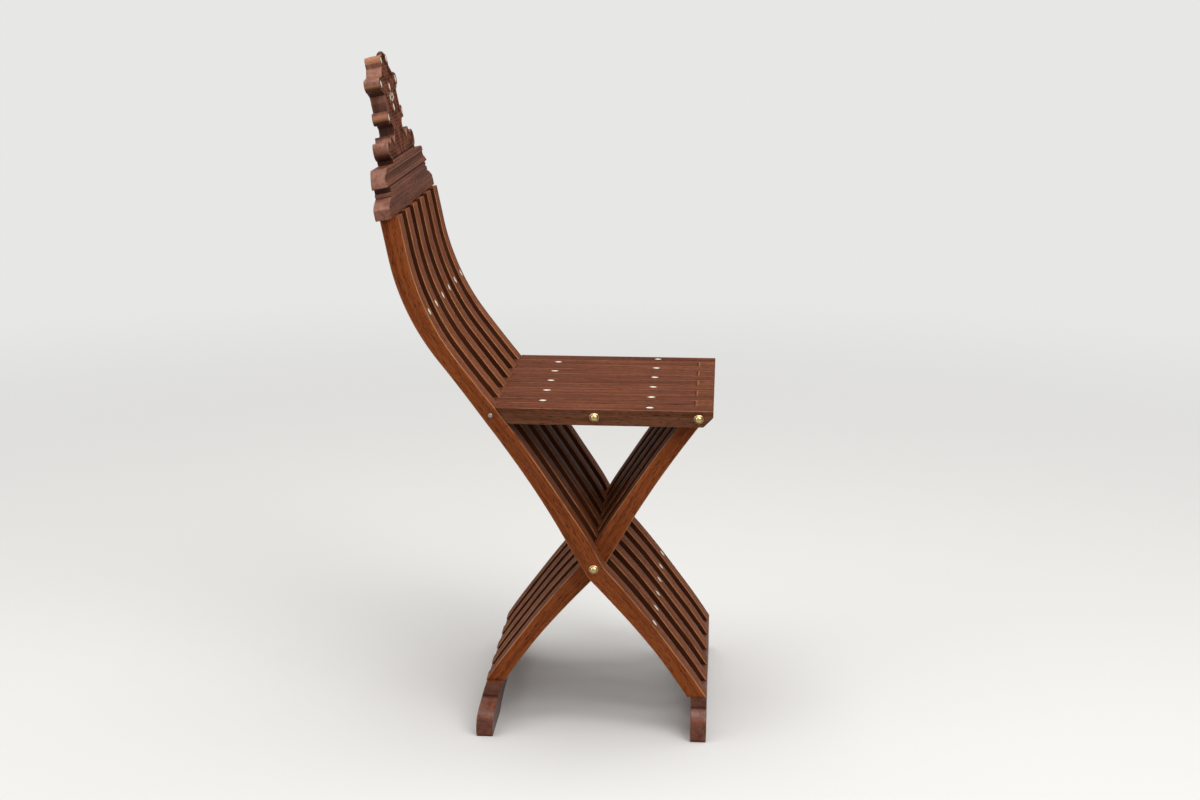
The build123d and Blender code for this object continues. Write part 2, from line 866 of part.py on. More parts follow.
def all_pieces():
    """Every piece by name, in place."""
    pieces = {}
    back = long_slat()
    leg = short_slat()
    front_seat = front_seat_slat()
    rear_seat = rear_seat_slat()
    for n, y in enumerate(slat_places(), start=1):
        pieces[f"long_back_slat_{n}"] = Pos(0, y, 0) * back
        pieces[f"front_seat_slat_{n}"] = Pos(0, y, 0) * front_seat
    for n, y in enumerate(leg_places(), start=1):
        pieces[f"short_leg_slat_{n}"] = Pos(0, y, 0) * leg
        pieces[f"rear_seat_slat_{n}"] = Pos(0, y, 0) * rear_seat
    pieces["crest_lower_rail"] = crest_lower_rail()
    pieces["crest_upper_rail"] = crest_upper_rail()
    pieces["crest_crown"] = crest_crown()
    pieces["crest_dowels"] = crest_dowels()
    pieces["front_foot_board"] = front_foot_board()
    pieces["rear_foot_board"] = rear_foot_board()
    pieces["fold_axle"] = fold_axle()
    pieces["fold_axle_knobs"] = knob_pair(0, axle_height)
    pieces["front_seat_rod"] = front_seat_rod()
    pieces["front_seat_rod_knobs"] = knob_pair(seat_half_span, seat_pivot_height)
    pieces["middle_seat_pins"] = middle_seat_pins()
    pieces["middle_seat_knobs"] = knob_pair(0, seat_pivot_height)
    pieces["rear_seat_rod"] = rear_seat_rod()
    pieces["rear_seat_rod_screws"] = rear_rod_screws()
    pieces["back_inlays"] = slat_inlays(back_inlay_distance)
    pieces["leg_inlays"] = slat_inlays(leg_inlay_distance)
    pieces["front_seat_inlays"] = front_seat_inlays()
    pieces["rear_seat_inlays"] = rear_seat_inlays()
    pieces["crest_inlays"] = crest_inlays()
    pieces["crest_flower_inlay"] = crest_flower()
    return pieces


pieces = all_pieces()
boxes = [piece.bounding_box() for piece in pieces.values()]
middle_x = round((min(box.min.X for box in boxes) + max(box.max.X for box in boxes)) / 2, 1)

os.makedirs("parts", exist_ok=True)
for name, piece in pieces.items():
    export_step(Pos(-middle_x, 0, 0) * piece, f"parts/{name}.step")

print(f"shift along X {-middle_x:.3f}")
print(f"fold axle at x {-middle_x:.3f}, z {axle_height:.3f}")
print(f"seat rods at x {-middle_x - seat_half_span:.3f}, {-middle_x + seat_half_span:.3f}, z {seat_pivot_height:.3f}")
print(f"slat top at {along(slat_top_distance)}")
print(f"pack half width {pack_half_width:.3f}")
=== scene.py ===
import functools
import json
import math
import random

import bmesh
import bpy
from bpy.props import FloatProperty, FloatVectorProperty, PointerProperty
from mathutils import Matrix, Vector, kdtree, noise
import numpy as np


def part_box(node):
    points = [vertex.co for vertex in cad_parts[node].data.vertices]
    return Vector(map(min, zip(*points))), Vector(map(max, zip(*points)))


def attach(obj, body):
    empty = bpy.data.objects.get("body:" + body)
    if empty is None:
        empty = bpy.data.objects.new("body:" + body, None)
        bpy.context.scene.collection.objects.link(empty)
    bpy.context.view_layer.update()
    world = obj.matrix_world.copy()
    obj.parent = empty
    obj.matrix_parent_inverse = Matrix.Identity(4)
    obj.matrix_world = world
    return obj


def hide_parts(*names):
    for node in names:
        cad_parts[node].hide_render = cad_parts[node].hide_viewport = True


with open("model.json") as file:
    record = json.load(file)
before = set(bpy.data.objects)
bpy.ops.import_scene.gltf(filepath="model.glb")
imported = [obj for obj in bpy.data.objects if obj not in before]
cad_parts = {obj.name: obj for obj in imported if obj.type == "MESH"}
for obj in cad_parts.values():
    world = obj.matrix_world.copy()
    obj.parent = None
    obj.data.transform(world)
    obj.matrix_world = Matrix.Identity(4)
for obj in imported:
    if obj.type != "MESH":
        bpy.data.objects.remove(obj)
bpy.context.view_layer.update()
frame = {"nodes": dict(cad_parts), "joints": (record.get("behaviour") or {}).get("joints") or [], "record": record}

bl_info = {
    "name": "Folding slat chair",
    "version": (1, 0, 0),
    "blender": (4, 5, 0),
    "location": "View3D > Sidebar > Folding chair",
    "description": "Bent slats, carved crest, foot boards, brass knobs and bone inlays of a folding chair",
    "category": "Object",
}


# ---------------------------------------------------------------- places taken from the frame


@functools.cache
def corners(node):
    """Lowest and highest corner of a CAD node."""
    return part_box(node)


def middle_y(node):
    """Middle of a node across the chair."""
    low, high = corners(node)
    return (low.y + high.y) / 2


def joint_place(name):
    """Place of a hinge, in metres."""
    return Vector(next(joint for joint in frame["joints"] if joint["name"] == name)["pos_m"])


def nodes_named(start):
    """The nodes whose names start alike, in order."""
    return sorted(node for node in frame["nodes"] if node.startswith(start))


AXLE = joint_place("fold")
REAR_ROD = joint_place("rear_seat_hinge")
SEAT_HINGE_REACH = (REAR_ROD - AXLE).length
LONG_SLATS = nodes_named("long_back_slat_")
SHORT_SLATS = nodes_named("short_leg_slat_")
FRONT_SEAT_SLATS = nodes_named("front_seat_slat_")
REAR_SEAT_SLATS = nodes_named("rear_seat_slat_")
SLAT_LOW, SLAT_HIGH = corners(LONG_SLATS[0])
SLAT_THICKNESS = SLAT_HIGH.y - SLAT_LOW.y
PACK_HALF_WIDTH = -SLAT_LOW.y
SEAT_LOW, SEAT_HIGH = corners(FRONT_SEAT_SLATS[0])
SEAT_TOP = SEAT_HIGH.z
SEAT_DEPTH = SEAT_HIGH.z - SEAT_LOW.z
SEAT_MIDDLE = (SEAT_HIGH.z + SEAT_LOW.z) / 2
SEAT_FRONT = SEAT_HIGH.x
FRONT_FOOT_TOP = corners("front_foot_board")[1].z
REAR_FOOT_TOP = corners("rear_foot_board")[1].z


# ---------------------------------------------------------------- sizes and finishes a user would change


def length(name, default, description):
    """A length property in metres."""
    return FloatProperty(name=name, description=description, default=default, unit="LENGTH", precision=5)


def angle(name, degrees, description):
    """An angle property, its default given in degrees."""
    return FloatProperty(name=name, description=description, default=math.radians(degrees), subtype="ANGLE")


def number(name, default, description):
    """A property without a unit."""
    return FloatProperty(name=name, description=description, default=default)


def colour(name, default, description):
    """A colour property."""
    return FloatVectorProperty(
        name=name, description=description, default=default, size=3, min=0, max=1, subtype="COLOR"
    )


def share(name, default, description):
    """A number between nothing and all."""
    return FloatProperty(
        name=name, description=description, default=default, min=0, max=1, subtype="FACTOR"
    )


class ChairSlatSettings(bpy.types.PropertyGroup):
    """Bend and section of the bent slats."""

    arm_turn: angle("Arm turn", 8.4, "Turn of a slat between axle and seat")
    back_straight: length("Back straight", 0.095, "Straight stretch of a slat above the seat")
    back_radius: length("Back radius", 0.330, "Radius of a slat's upper bend")
    back_lean: angle("Back lean", 11.5, "Lean of the back's top from upright")
    top_straight: length("Top straight", 0.050, "Straight stretch below the crest")
    crossing_radius: length("Crossing radius", 0.050, "Radius of the tight turn at the axle")
    shin_heading: angle("Shin heading", 46.2, "Slope of a slat just below the axle")
    shin_radius: length("Shin radius", 1.130, "Radius of the bowed lower part")
    edge_round: length("Edge round", 0.0016, "Rounding of the slats' worn edges")
    seat_edge_round: length("Seat edge round", 0.0008, "Rounding of the seat slats' worn edges")
    unevenness: length("Unevenness", 0.00014, "How far hand-planed faces wander")
    nose_rise: length("Nose rise", 0.013, "Height of the seat's cut-back front edge")
    nose_run: length("Nose run", 0.013, "Depth of the seat's cut-back front edge")
    tail_top_round: length("Tail top round", 0.013, "Upper rounding of the rear seat slats' tails")
    tail_low_round: length("Tail low round", 0.0085, "Lower rounding of the rear seat slats' tails")


class ChairFootSettings(bpy.types.PropertyGroup):
    """Outline of the foot boards."""

    toe_round: length("Toe round", 0.0025, "Rounding of the ends' lower corners")
    shoulder_low: length("Shoulder low", 0.0235, "Height where the round shoulder starts")
    shoulder_top: length("Shoulder top", 0.0375, "Height where the shoulder ends")
    bulge: number("Bulge", 1.3, "Roundness of the shoulder")
    ledge_height: length("Ledge height", 0.0435, "Height of the ledge under the end block")
    ledge_depth: length("Ledge depth", 0.0025, "Depth of the ledge")
    front_block: length("Front block", 0.172, "Half length of the front board's top")
    front_shoulder: length("Front shoulder", 0.180, "Half length at the front shoulder's top")
    rear_block: length("Rear block", 0.150, "Half length of the rear board's top")
    rear_shoulder: length("Rear shoulder", 0.172, "Half length at the rear shoulder's top")
    rear_thickness: length("Rear thickness", 0.0225, "Thickness of the rear board")
    rear_rake: length("Rear rake", 0.0094, "How far the rear board's foot stands back")
    rear_bow: length("Rear bow", 0.0035, "Bow of the rear board")
    arch_height: length("Arch height", 0.012, "Height of the arch underneath")
    arch_half_width: length("Arch half width", 0.105, "Half width of the arch")
    edge_round: length("Edge round", 0.0016, "Rounding of the worn long edges")


class ChairCarvingSettings(bpy.types.PropertyGroup):
    """Boards and relief of the crest."""

    thickness: length("Thickness", 0.0215, "Thickness of the crest's boards")
    front_offset: length("Front offset", 0.0065, "How far the crest stands before the slats' middle")
    edge_round: length("Edge round", 0.0013, "Rounding of the rails' edges")
    rail_height: length("Rail height", 0.038, "Height of the lower rail")
    end_height: length("End height", 0.013, "Height of the lower rail's square end")
    neck_height: length("Neck height", 0.026, "Height where the lower rail's neck starts")
    neck_inset: length("Neck inset", 0.035, "How far the neck is drawn in")
    sweep_bulge: number("Sweep bulge", 0.7, "Roundness of the lower rail's sweep")
    fillet_height: length("Fillet height", 0.005, "Height of the small fillet on the neck")
    fillet_reach: length("Fillet reach", 0.004, "How far the fillet stands out")
    upper_rail_height: length("Upper rail height", 0.024, "Height of the upper rail")
    upper_taper: length("Upper taper", 0.019, "How far the upper rail is drawn in at its top")
    joint_gap: length("Joint gap", 0.0001, "Gap between the crest's boards")
    bead_height: length("Bead height", 0.0052, "How far the bead stands above the crown's lobes")
    bead_half_width: length("Bead half width", 0.0080, "Half width of the bead")
    grid: length("Grid", 0.00076, "Size of the crown's surface grid")
    line_depth: length("Line depth", 0.0009, "Depth of incised lines")
    ground_depth: length("Ground depth", 0.0019, "Depth of the punched ground")
    cut_pitch: length("Cut pitch", 0.0130, "Distance across between gouge cuts in the ground")
    cut_rise: length("Cut rise", 0.0048, "Distance between rows of gouge cuts")
    tool_marks: length("Tool marks", 0.0003, "Depth of the marks that tools left")


class ChairInlaySettings(bpy.types.PropertyGroup):
    """Bone inlays and brass knobs."""

    inlay_length: length("Inlay length", 0.0105, "Length of an inlay")
    inlay_width: length("Inlay width", 0.0080, "Width of an inlay")
    petal_length: length("Petal length", 0.0066, "Length of a petal of the crest's flower")
    petal_width: length("Petal width", 0.0050, "Width of a petal")
    petal_closeness: share("Petal closeness", 0.85, "How far the petals keep from the flower's middle")
    inlay_proud: length("Inlay proud", 0.00030, "Height of an inlay above the wood")
    cad_proud: length("Model's proud", 0.00015, "Height of an inlay above the wood in the packed model")
    glue_line: length("Glue line", 0.00035, "Width of the dark line round an inlay")
    glue_proud: length("Glue proud", 0.00012, "Height of the dark line above the wood")
    knob_radius: length("Knob radius", 0.0062, "Radius of a brass knob")
    knob_height: length("Knob height", 0.0052, "Height of a brass knob")


class ChairFinishSettings(bpy.types.PropertyGroup):
    """Colours of the finishes."""

    varnish: colour("Varnish", (0.300, 0.072, 0.0155), "Warm varnish on the slats' broad faces")
    worn: colour("Worn wood", (0.245, 0.077, 0.031), "Wood along the slats' narrow edges")
    seat: colour("Seat wood", (0.170, 0.047, 0.019), "Wood of the seat")
    seat_side: colour("Seat sides", (0.172, 0.070, 0.038), "Wood of the seat's two outer sides")
    carved: colour("Carved wood", (0.188, 0.058, 0.028), "Wood of the crest's front and back")
    carved_end: colour("Carved ends", (0.300, 0.136, 0.096), "Polished wood of the crest's ends")
    foot: colour("Foot wood", (0.205, 0.060, 0.032), "Wood of the foot boards")
    rubbed: colour("Rubbed edges", (0.56, 0.245, 0.110), "Bare wood where the slats' edges are rubbed")
    bone: colour("Bone", (0.93, 0.89, 0.78), "Bone inlays")
    brass: colour("Brass", (0.82, 0.60, 0.29), "Brass knobs")
    steel: colour("Steel", (0.56, 0.55, 0.53), "Steel rods and screws")


class ChairStageSettings(bpy.types.PropertyGroup):
    """Camera, floor and light."""

    camera_place: FloatVectorProperty(
        name="Camera place",
        description="Where the camera stands",
        default=(0.2496, -2.6775, 1.0494),
        subtype="XYZ",
    )
    camera_down: angle("Camera down", 13.04, "How far the camera looks down")
    camera_turn: angle("Camera turn", 3.63, "How far the camera turns to the left")
    camera_roll: angle("Camera roll", 0.227, "How far the camera is tipped")
    focal_length: number("Focal length", 59.13, "Focal length in millimetres")
    floor_tone: colour("Floor", (0.80, 0.795, 0.78), "Colour of the floor as the camera sees it")
    floor_bounce: colour("Floor bounce", (0.40, 0.39, 0.37), "Colour of the light that the floor throws back")
    backdrop: colour("Backdrop", (0.80, 0.80, 0.79), "Colour of the backdrop")
    key_power: number("Key light", 44.0, "Power of the soft light at the front")
    top_power: number("Top light", 46.0, "Power of the soft light overhead")
    sky: number("Sky", 0.66, "Strength of the light from straight above")
    horizon: number("Horizon", 0.13, "Strength of the light from the sides")
    mirrored_backdrop: share("Mirrored backdrop", 0.12, "How much of the backdrop shows in shiny parts")


SETTINGS = {
    "chair_slats": ChairSlatSettings,
    "chair_feet": ChairFootSettings,
    "chair_carving": ChairCarvingSettings,
    "chair_inlays": ChairInlaySettings,
    "chair_finish": ChairFinishSettings,
    "chair_stage": ChairStageSettings,
}


def settings(name):
    """The scene's settings of one kind."""
    return getattr(bpy.context.scene, name)


# ---------------------------------------------------------------- node trees


class Value:
    """A node's output: Python's operators on it add Math nodes."""

    def __init__(self, tree, socket):
        self.tree = tree
        self.socket = socket

    def math(self, operation, *inputs):
        """The result of one Math node."""
        return self.tree.node("ShaderNodeMath", {"operation": operation}, *inputs)

    def __add__(self, other):
        return self.math("ADD", self, other)

    def __radd__(self, other):
        return self.math("ADD", other, self)

    def __sub__(self, other):
        return self.math("SUBTRACT", self, other)

    def __rsub__(self, other):
        return self.math("SUBTRACT", other, self)

    def __mul__(self, other):
        return self.math("MULTIPLY", self, other)

    def __rmul__(self, other):
        return self.math("MULTIPLY", other, self)

    def __pow__(self, other):
        return self.math("POWER", self, other)

    def __rpow__(self, other):
        return self.math("POWER", other, self)

    def __abs__(self):
        return self.math("ABSOLUTE", self)

    def over(self, limit):
        """1 above a limit and 0 below it."""
        return self.math("GREATER_THAN", self, limit)

    def under(self, limit):
        """1 below a limit and 0 above it."""
        return self.math("LESS_THAN", self, limit)

    def limited(self):
        """The value held between 0 and 1."""
        kept = {"operation": "ADD", "use_clamp": True}
        return self.tree.node("ShaderNodeMath", kept, self, 0.0)

    def step(self, low, high):
        """0 below low, 1 above high, with a soft step between."""
        kept = {"interpolation_type": "SMOOTHSTEP", "clamp": True}
        return self.tree.node("ShaderNodeMapRange", kept, self, low, high, 0.0, 1.0)

    def parts(self):
        """The three parts of a vector."""
        separate = self.tree.node("ShaderNodeSeparateXYZ", {}, self).socket.node
        return [Value(self.tree, socket) for socket in separate.outputs]


class NodeTree:
    """Adds nodes to a tree and links them."""

    def __init__(self, tree):
        self.tree = tree
        tree.nodes.clear()

    def plug(self, socket, value):
        """Sets a socket to a number, a tuple or a link."""
        if isinstance(value, Value):
            self.tree.links.new(value.socket, socket)
        elif socket.type == "RGBA":
            socket.default_value = (*value, 1.0)
        else:
            socket.default_value = value

    def node(self, kind, kept, *inputs, output=0, **named):
        """Adds a node: its own settings first, then the values or links of its sockets.

        Sockets are given in order, None leaving one out, or by name with underscores for spaces.
        """
        made = self.tree.nodes.new(kind)
        for key, value in kept.items():
            setattr(made, key, value)
        for socket, value in zip(made.inputs, inputs):
            if value is not None:
                self.plug(socket, value)
        for key, value in named.items():
            self.plug(made.inputs[key.replace("_", " ")], value)
        return Value(self, made.outputs[output] if made.outputs else None)


class Shader(NodeTree):
    """The node tree of one material or of the world."""

    def attribute(self, name, output="Fac"):
        """One of a piece's own attributes."""
        return self.node("ShaderNodeAttribute", {"attribute_name": name}, output=output)

    def place(self):
        """Object coordinates."""
        return self.node("ShaderNodeTexCoord", {}, output="Object")

    def stretched(self, vector, scale, shift=(0.0, 0.0, 0.0)):
        """A vector with its axes scaled and shifted."""
        return self.node("ShaderNodeMapping", {}, vector, shift, (0, 0, 0), scale)

    def noise(self, vector, scale=1.0, detail=3.0, rough=0.55, distortion=0.0):
        """Soft noise between 0 and 1."""
        named = {"Scale": scale, "Detail": detail, "Roughness": rough, "Distortion": distortion}
        return self.node("ShaderNodeTexNoise", {}, vector, **named)

    def mix(self, share_of_second, first, second):
        """A mix of two colours."""
        kept = {"data_type": "RGBA", "blend_type": "MIX", "clamp_factor": True}
        unused = (None,) * 5
        return self.node("ShaderNodeMix", kept, share_of_second, *unused, first, second, output=2)

    def bump(self, height, distance, strength):
        """A bumped normal."""
        return self.node("ShaderNodeBump", {}, Strength=strength, Distance=distance, Height=height)

    def seen(self, mirrored):
        """1 for what the camera sees, straight or through something clear, and a share for mirrored rays."""
        kinds = ("Is Camera Ray", "Is Transmission Ray", "Is Glossy Ray")
        straight, through, glossy = (self.node("ShaderNodeLightPath", {}, output=kind) for kind in kinds)
        return (straight + through + glossy * mirrored).limited()


class Finish(Shader):
    """The node tree of a new material."""

    def __init__(self, name):
        self.material = bpy.data.materials.new(name)
        self.material.use_nodes = True
        super().__init__(self.material.node_tree)

    def surface(self, **sockets):
        """The surface, its sockets named with underscores for spaces."""
        return self.node("ShaderNodeBsdfPrincipled", {}, **sockets)

    def finish(self, surface=None, **sockets):
        """Ends the tree and returns the material."""
        self.node("ShaderNodeOutputMaterial", {}, surface or self.surface(**sockets))
        return self.material


def shade(tone, factor):
    """A colour made darker or lighter."""
    return tuple(min(1.0, c * factor) for c in tone)


def blend_tones(first, second, share_of_second):
    """A colour between two."""
    return tuple(a + (b - a) * share_of_second for a, b in zip(first, second))


# ---------------------------------------------------------------- finishes

# Fine dust and dried polish in the open grain
DUST = (0.30, 0.128, 0.068)


def deeper(tone, factor):
    """A darker and redder colour, as varnish gathers in the grain."""
    red, green, blue = tone
    return red * factor, green * factor * 0.85, blue * factor * 0.72


def wood(name, base, face=None, *, rub, gloss=0.45, coat=0.0, open_pores=1.0, streaked=0.45, shine=0.05):
    """Varnished open-grained wood that follows each piece's own grain attribute.

    The grain attribute runs along, across and through the piece, in metres; the face attribute is 1 on
    broad varnished faces; wear is 1 on rubbed edges and on the crown's painted highlights, and -1 in
    hollows, which get painted shade and some grime; the stain attribute is 1 in carved ground, on the
    faces between slats, which carry painted shade, and in the crest's shaded recesses.
    """
    s = Finish(name)
    grain = s.attribute("grain", "Vector")
    wear = s.attribute("wear")
    stain = s.attribute("stain")
    drift = s.noise(s.stretched(grain, (3.0, 22.0, 22.0)), detail=2.0)
    bands = s.noise(s.stretched(grain, (5.0, 150.0, 150.0)), detail=4.0, rough=0.62, distortion=0.5)
    fibres = s.noise(s.stretched(grain, (26.0, 1300.0, 1300.0)), detail=2.0, rough=0.6)
    pores = s.noise(s.stretched(grain, (95.0, 1500.0, 1500.0), (3.1, 1.7, 0.9)), detail=1.0)
    rubs = s.noise(s.stretched(grain, (40.0, 90.0, 90.0), (1.0, 5.0, 2.0)), detail=4.0, rough=0.7)
    streaks = s.noise(s.stretched(grain, (19.0, 250.0, 250.0), (4.0, 0.6, 2.2)), detail=3.0, rough=0.7)
    flecks = s.noise(s.stretched(grain, (60.0, 1100.0, 1100.0), (7.0, 2.0, 4.0)), detail=1.0)
    pore_mask = pores.step(0.60, 0.69)

    light = blend_tones(shade(base, 1.5), DUST, 0.12)
    body = s.mix(bands.step(0.34, 0.66), deeper(base, 0.45), base)
    body = s.mix(drift.step(0.45, 0.75) * 0.55, body, light)
    if face is None:
        bare = 1.0
        coating = rubs.step(0.75, 0.35) * coat
    else:
        broad = s.attribute("face")
        bare = 1.0 - broad * 0.55
        coating = rubs.step(0.85, 0.35) * broad * coat
        warm = s.mix(bands.step(0.30, 0.62), deeper(face, 0.5), face)
        warm = s.mix(drift.step(0.5, 0.8) * 0.6, warm, shade(face, 1.35))
        body = s.mix(broad, body, warm)
    body = s.mix(fibres.step(0.40, 0.66) * 0.30, body, light)
    body = s.mix(streaks.step(0.54, 0.70) * streaked * bare, body, deeper(base, 0.30))
    body = s.mix(streaks.step(0.42, 0.28) * streaked * bare * 0.8, body, light)
    body = s.mix(flecks.step(0.62, 0.74) * 0.22 * open_pores, body, DUST)
    body = s.mix(pore_mask * 0.8 * open_pores, body, deeper(base, 0.16))
    # Rubbed bare wood where wear is high; on the crown this also paints the highlight on the lobes
    body = s.mix((wear * 1.2 - rubs * 0.7).step(-0.15, 0.35) * 0.8, body, rub)
    # Painted shade, with some grime, in hollows where wear is negative
    body = s.mix((wear * -1.0).step(0.05, 0.7) * 0.75, body, deeper(base, 0.14))
    # Dark polish, grime and painted shade where the stain attribute is high
    body = s.mix(stain * 0.85, body, deeper(base, 0.20))

    height = fibres * 0.35 + bands * 0.3 - pore_mask * 0.8 * open_pores
    roughness = rubs * 0.16 + fibres * 0.10 + pore_mask * 0.2 + stain * 0.2 + (gloss - 0.13)
    return s.finish(
        Base_Color=body,
        Roughness=roughness.limited(),
        Normal=s.bump(height, 0.00028, 0.75),
        Coat_Weight=coating.limited(),
        Coat_Roughness=0.25,
        Specular_IOR_Level=shine,
    )


def bone_finish(tone):
    """Polished bone with fine veins and stained pits."""
    s = Finish("polished_bone")
    place = s.place()
    clouds = s.noise(place, scale=220.0)
    veins = s.noise(s.stretched(place, (300.0, 1400.0, 500.0)), detail=2.0, rough=0.6)
    pits = s.noise(place, scale=2100.0, detail=1.0).step(0.66, 0.74)
    body = s.mix(clouds.step(0.4, 0.75) * 0.45, tone, (0.74, 0.64, 0.47))
    body = s.mix(veins.step(0.5, 0.75) * 0.35, body, (0.92, 0.89, 0.80))
    body = s.mix(pits * 0.5, body, (0.36, 0.26, 0.16))
    return s.finish(
        Base_Color=body, Roughness=clouds * 0.2 + 0.28, Normal=s.bump(veins - pits * 0.6, 0.00008, 0.6)
    )


def brass_finish(tone):
    """Polished brass, scratched and a little tarnished."""
    s = Finish("worn_brass")
    place = s.place()
    tarnish = s.noise(place, scale=330.0, detail=4.0, rough=0.6)
    scratches = s.noise(s.stretched(place, (900.0, 4200.0, 1500.0)), detail=2.0)
    return s.finish(
        Base_Color=s.mix(tarnish.step(0.50, 0.75) * 0.5, tone, (0.42, 0.26, 0.09)),
        Metallic=1.0,
        Roughness=tarnish * 0.22 + scratches * 0.08 + 0.10,
        Normal=s.bump(scratches + tarnish, 0.00006, 0.5),
    )


def steel_finish(tone):
    """Plain drawn steel, dulled in patches."""
    s = Finish("drawn_steel")
    place = s.place()
    lines = s.noise(s.stretched(place, (3000.0, 90.0, 3000.0)), detail=2.0)
    dull = s.noise(place, scale=150.0, detail=4.0)
    return s.finish(
        Base_Color=s.mix(dull.step(0.5, 0.75) * 0.5, tone, shade(tone, 0.5)),
        Metallic=1.0,
        Roughness=dull * 0.3 + lines * 0.1 + 0.2,
        Normal=s.bump(lines, 0.00004, 0.5),
    )


def glue_finish():
    """The dark line of old glue round an inlay."""
    s = Finish("old_glue")
    crumbs = s.noise(s.place(), scale=1500.0, detail=2.0)
    body = s.mix(crumbs, (0.012, 0.007, 0.004), (0.035, 0.02, 0.012))
    return s.finish(Base_Color=body, Roughness=0.7, Normal=s.bump(crumbs, 0.0001, 0.6))


def slat_wood(tones):
    """Worn varnish on the outer sides of the bent slats, over darker wood."""
    return wood(
        "varnished_slat_wood", tones.worn, tones.varnish, coat=0.10, open_pores=1.35, rub=tones.rubbed
    )


def seat_wood(tones):
    """Dry dark wood of the seat, its two outer sides a little lighter."""
    return wood(
        "worn_seat_wood",
        tones.seat,
        tones.seat_side,
        gloss=0.48,
        open_pores=1.3,
        streaked=0.75,
        rub=(0.36, 0.17, 0.10),
    )


def carved_wood(tones):
    """Dark polish on the crest, its sawn ends lighter; its rub colour also paints the crown's highlight."""
    return wood(
        "dark_carved_wood",
        tones.carved,
        tones.carved_end,
        gloss=0.40,
        coat=0.40,
        open_pores=0.8,
        rub=(0.45, 0.190, 0.092),
        shine=0.10,
    )


def foot_wood(tones):
    """Polished dark wood of the foot boards."""
    return wood("foot_board_wood", tones.foot, gloss=0.32, coat=0.75, rub=(0.42, 0.20, 0.13), shine=0.25)


FINISH_MAKERS = {
    "slat_wood": slat_wood,
    "seat_wood": seat_wood,
    "carved_wood": carved_wood,
    "foot_wood": foot_wood,
    "bone": lambda tones: bone_finish(tones.bone),
    "brass": lambda tones: brass_finish(tones.brass),
    "steel": lambda tones: steel_finish(tones.steel),
    "glue": lambda tones: glue_finish(),
}


@functools.cache
def finish(name):
    """A finish, made on first use."""
    return FINISH_MAKERS[name](settings("chair_finish"))


# ---------------------------------------------------------------- mesh helpers


def linked(name, data):
    """A new object of the scene."""
    made = bpy.data.objects.new(name, data)
    bpy.context.scene.collection.objects.link(made)
    return made


def smoothed(mesh, sharp_angle=None):
    """Shades a mesh smooth, up to an angle if one is given."""
    mesh.polygons.foreach_set("use_smooth", [True] * len(mesh.polygons))
    if sharp_angle is not None:
        mesh.set_sharp_from_angle(angle=math.radians(sharp_angle))


def object_from(name, bm, material, sharp_angle=38):
    """Links a new object made from a bmesh, shaded smooth up to an angle in degrees."""
    mesh = bpy.data.meshes.new(name)
    bm.to_mesh(mesh)
    bm.free()
    mesh.materials.append(material)
    smoothed(mesh, sharp_angle)
    return linked(name, mesh)


def plain_mesh(source):
    """The mesh that an object's modifiers make, after which they are removed."""
    evaluated = source.evaluated_get(bpy.context.evaluated_depsgraph_get())
    mesh = bpy.data.meshes.new_from_object(evaluated)
    source.modifiers.clear()
    return mesh


def set_attributes(mesh, **layers):
    """Writes one number or one vector per vertex into each attribute."""
    for name, values in layers.items():
        values = np.array(values, dtype=np.float32)
        kind, field = ("FLOAT_VECTOR", "vector") if values.ndim == 2 else ("FLOAT", "value")
        mesh.attributes.new(name, kind, "POINT").data.foreach_set(field, values.ravel())


def mesh_arrays(mesh):
    """Places and normals of a mesh's vertices, one row each."""
    places, normals = np.empty((2, len(mesh.vertices), 3))
    mesh.vertices.foreach_get("co", places.ravel())
    mesh.vertex_normals.foreach_get("vector", normals.ravel())
    return places, normals


# How far apart the pieces' places in the noise can be
WANDER_RANGE = 9


def wandering(seed):
    """A random shift that sets one piece's unevenness and grain apart from the others'."""
    random.seed(seed)
    return Vector([random.uniform(0, WANDER_RANGE) for _ in range(3)])


def noise_spot(place, rates, shift):
    """Where in the noise a place is, given in a piece's own directions with the rate of change of each."""
    return Vector([value * rate for value, rate in zip(place, rates)]) + shift


def body_of(node):
    """The body that a node rides on."""
    bodies = frame["record"]["behaviour"]["bodies"]
    return next(body for body, members in bodies.items() if node in members)


def dressed(piece, node):
    """Gives a piece the body of the node that it stands for, and hides that node."""
    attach(piece, body_of(node))
    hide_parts(node)
    return piece


# ---------------------------------------------------------------- bent bars

# The straight below the crest is carried on to this many times its length, past the crest's boards
SPARE_STRAIGHT = 3
# Length of the bowed lower part, longer than any leg needs
SHIN_RUN = 0.40


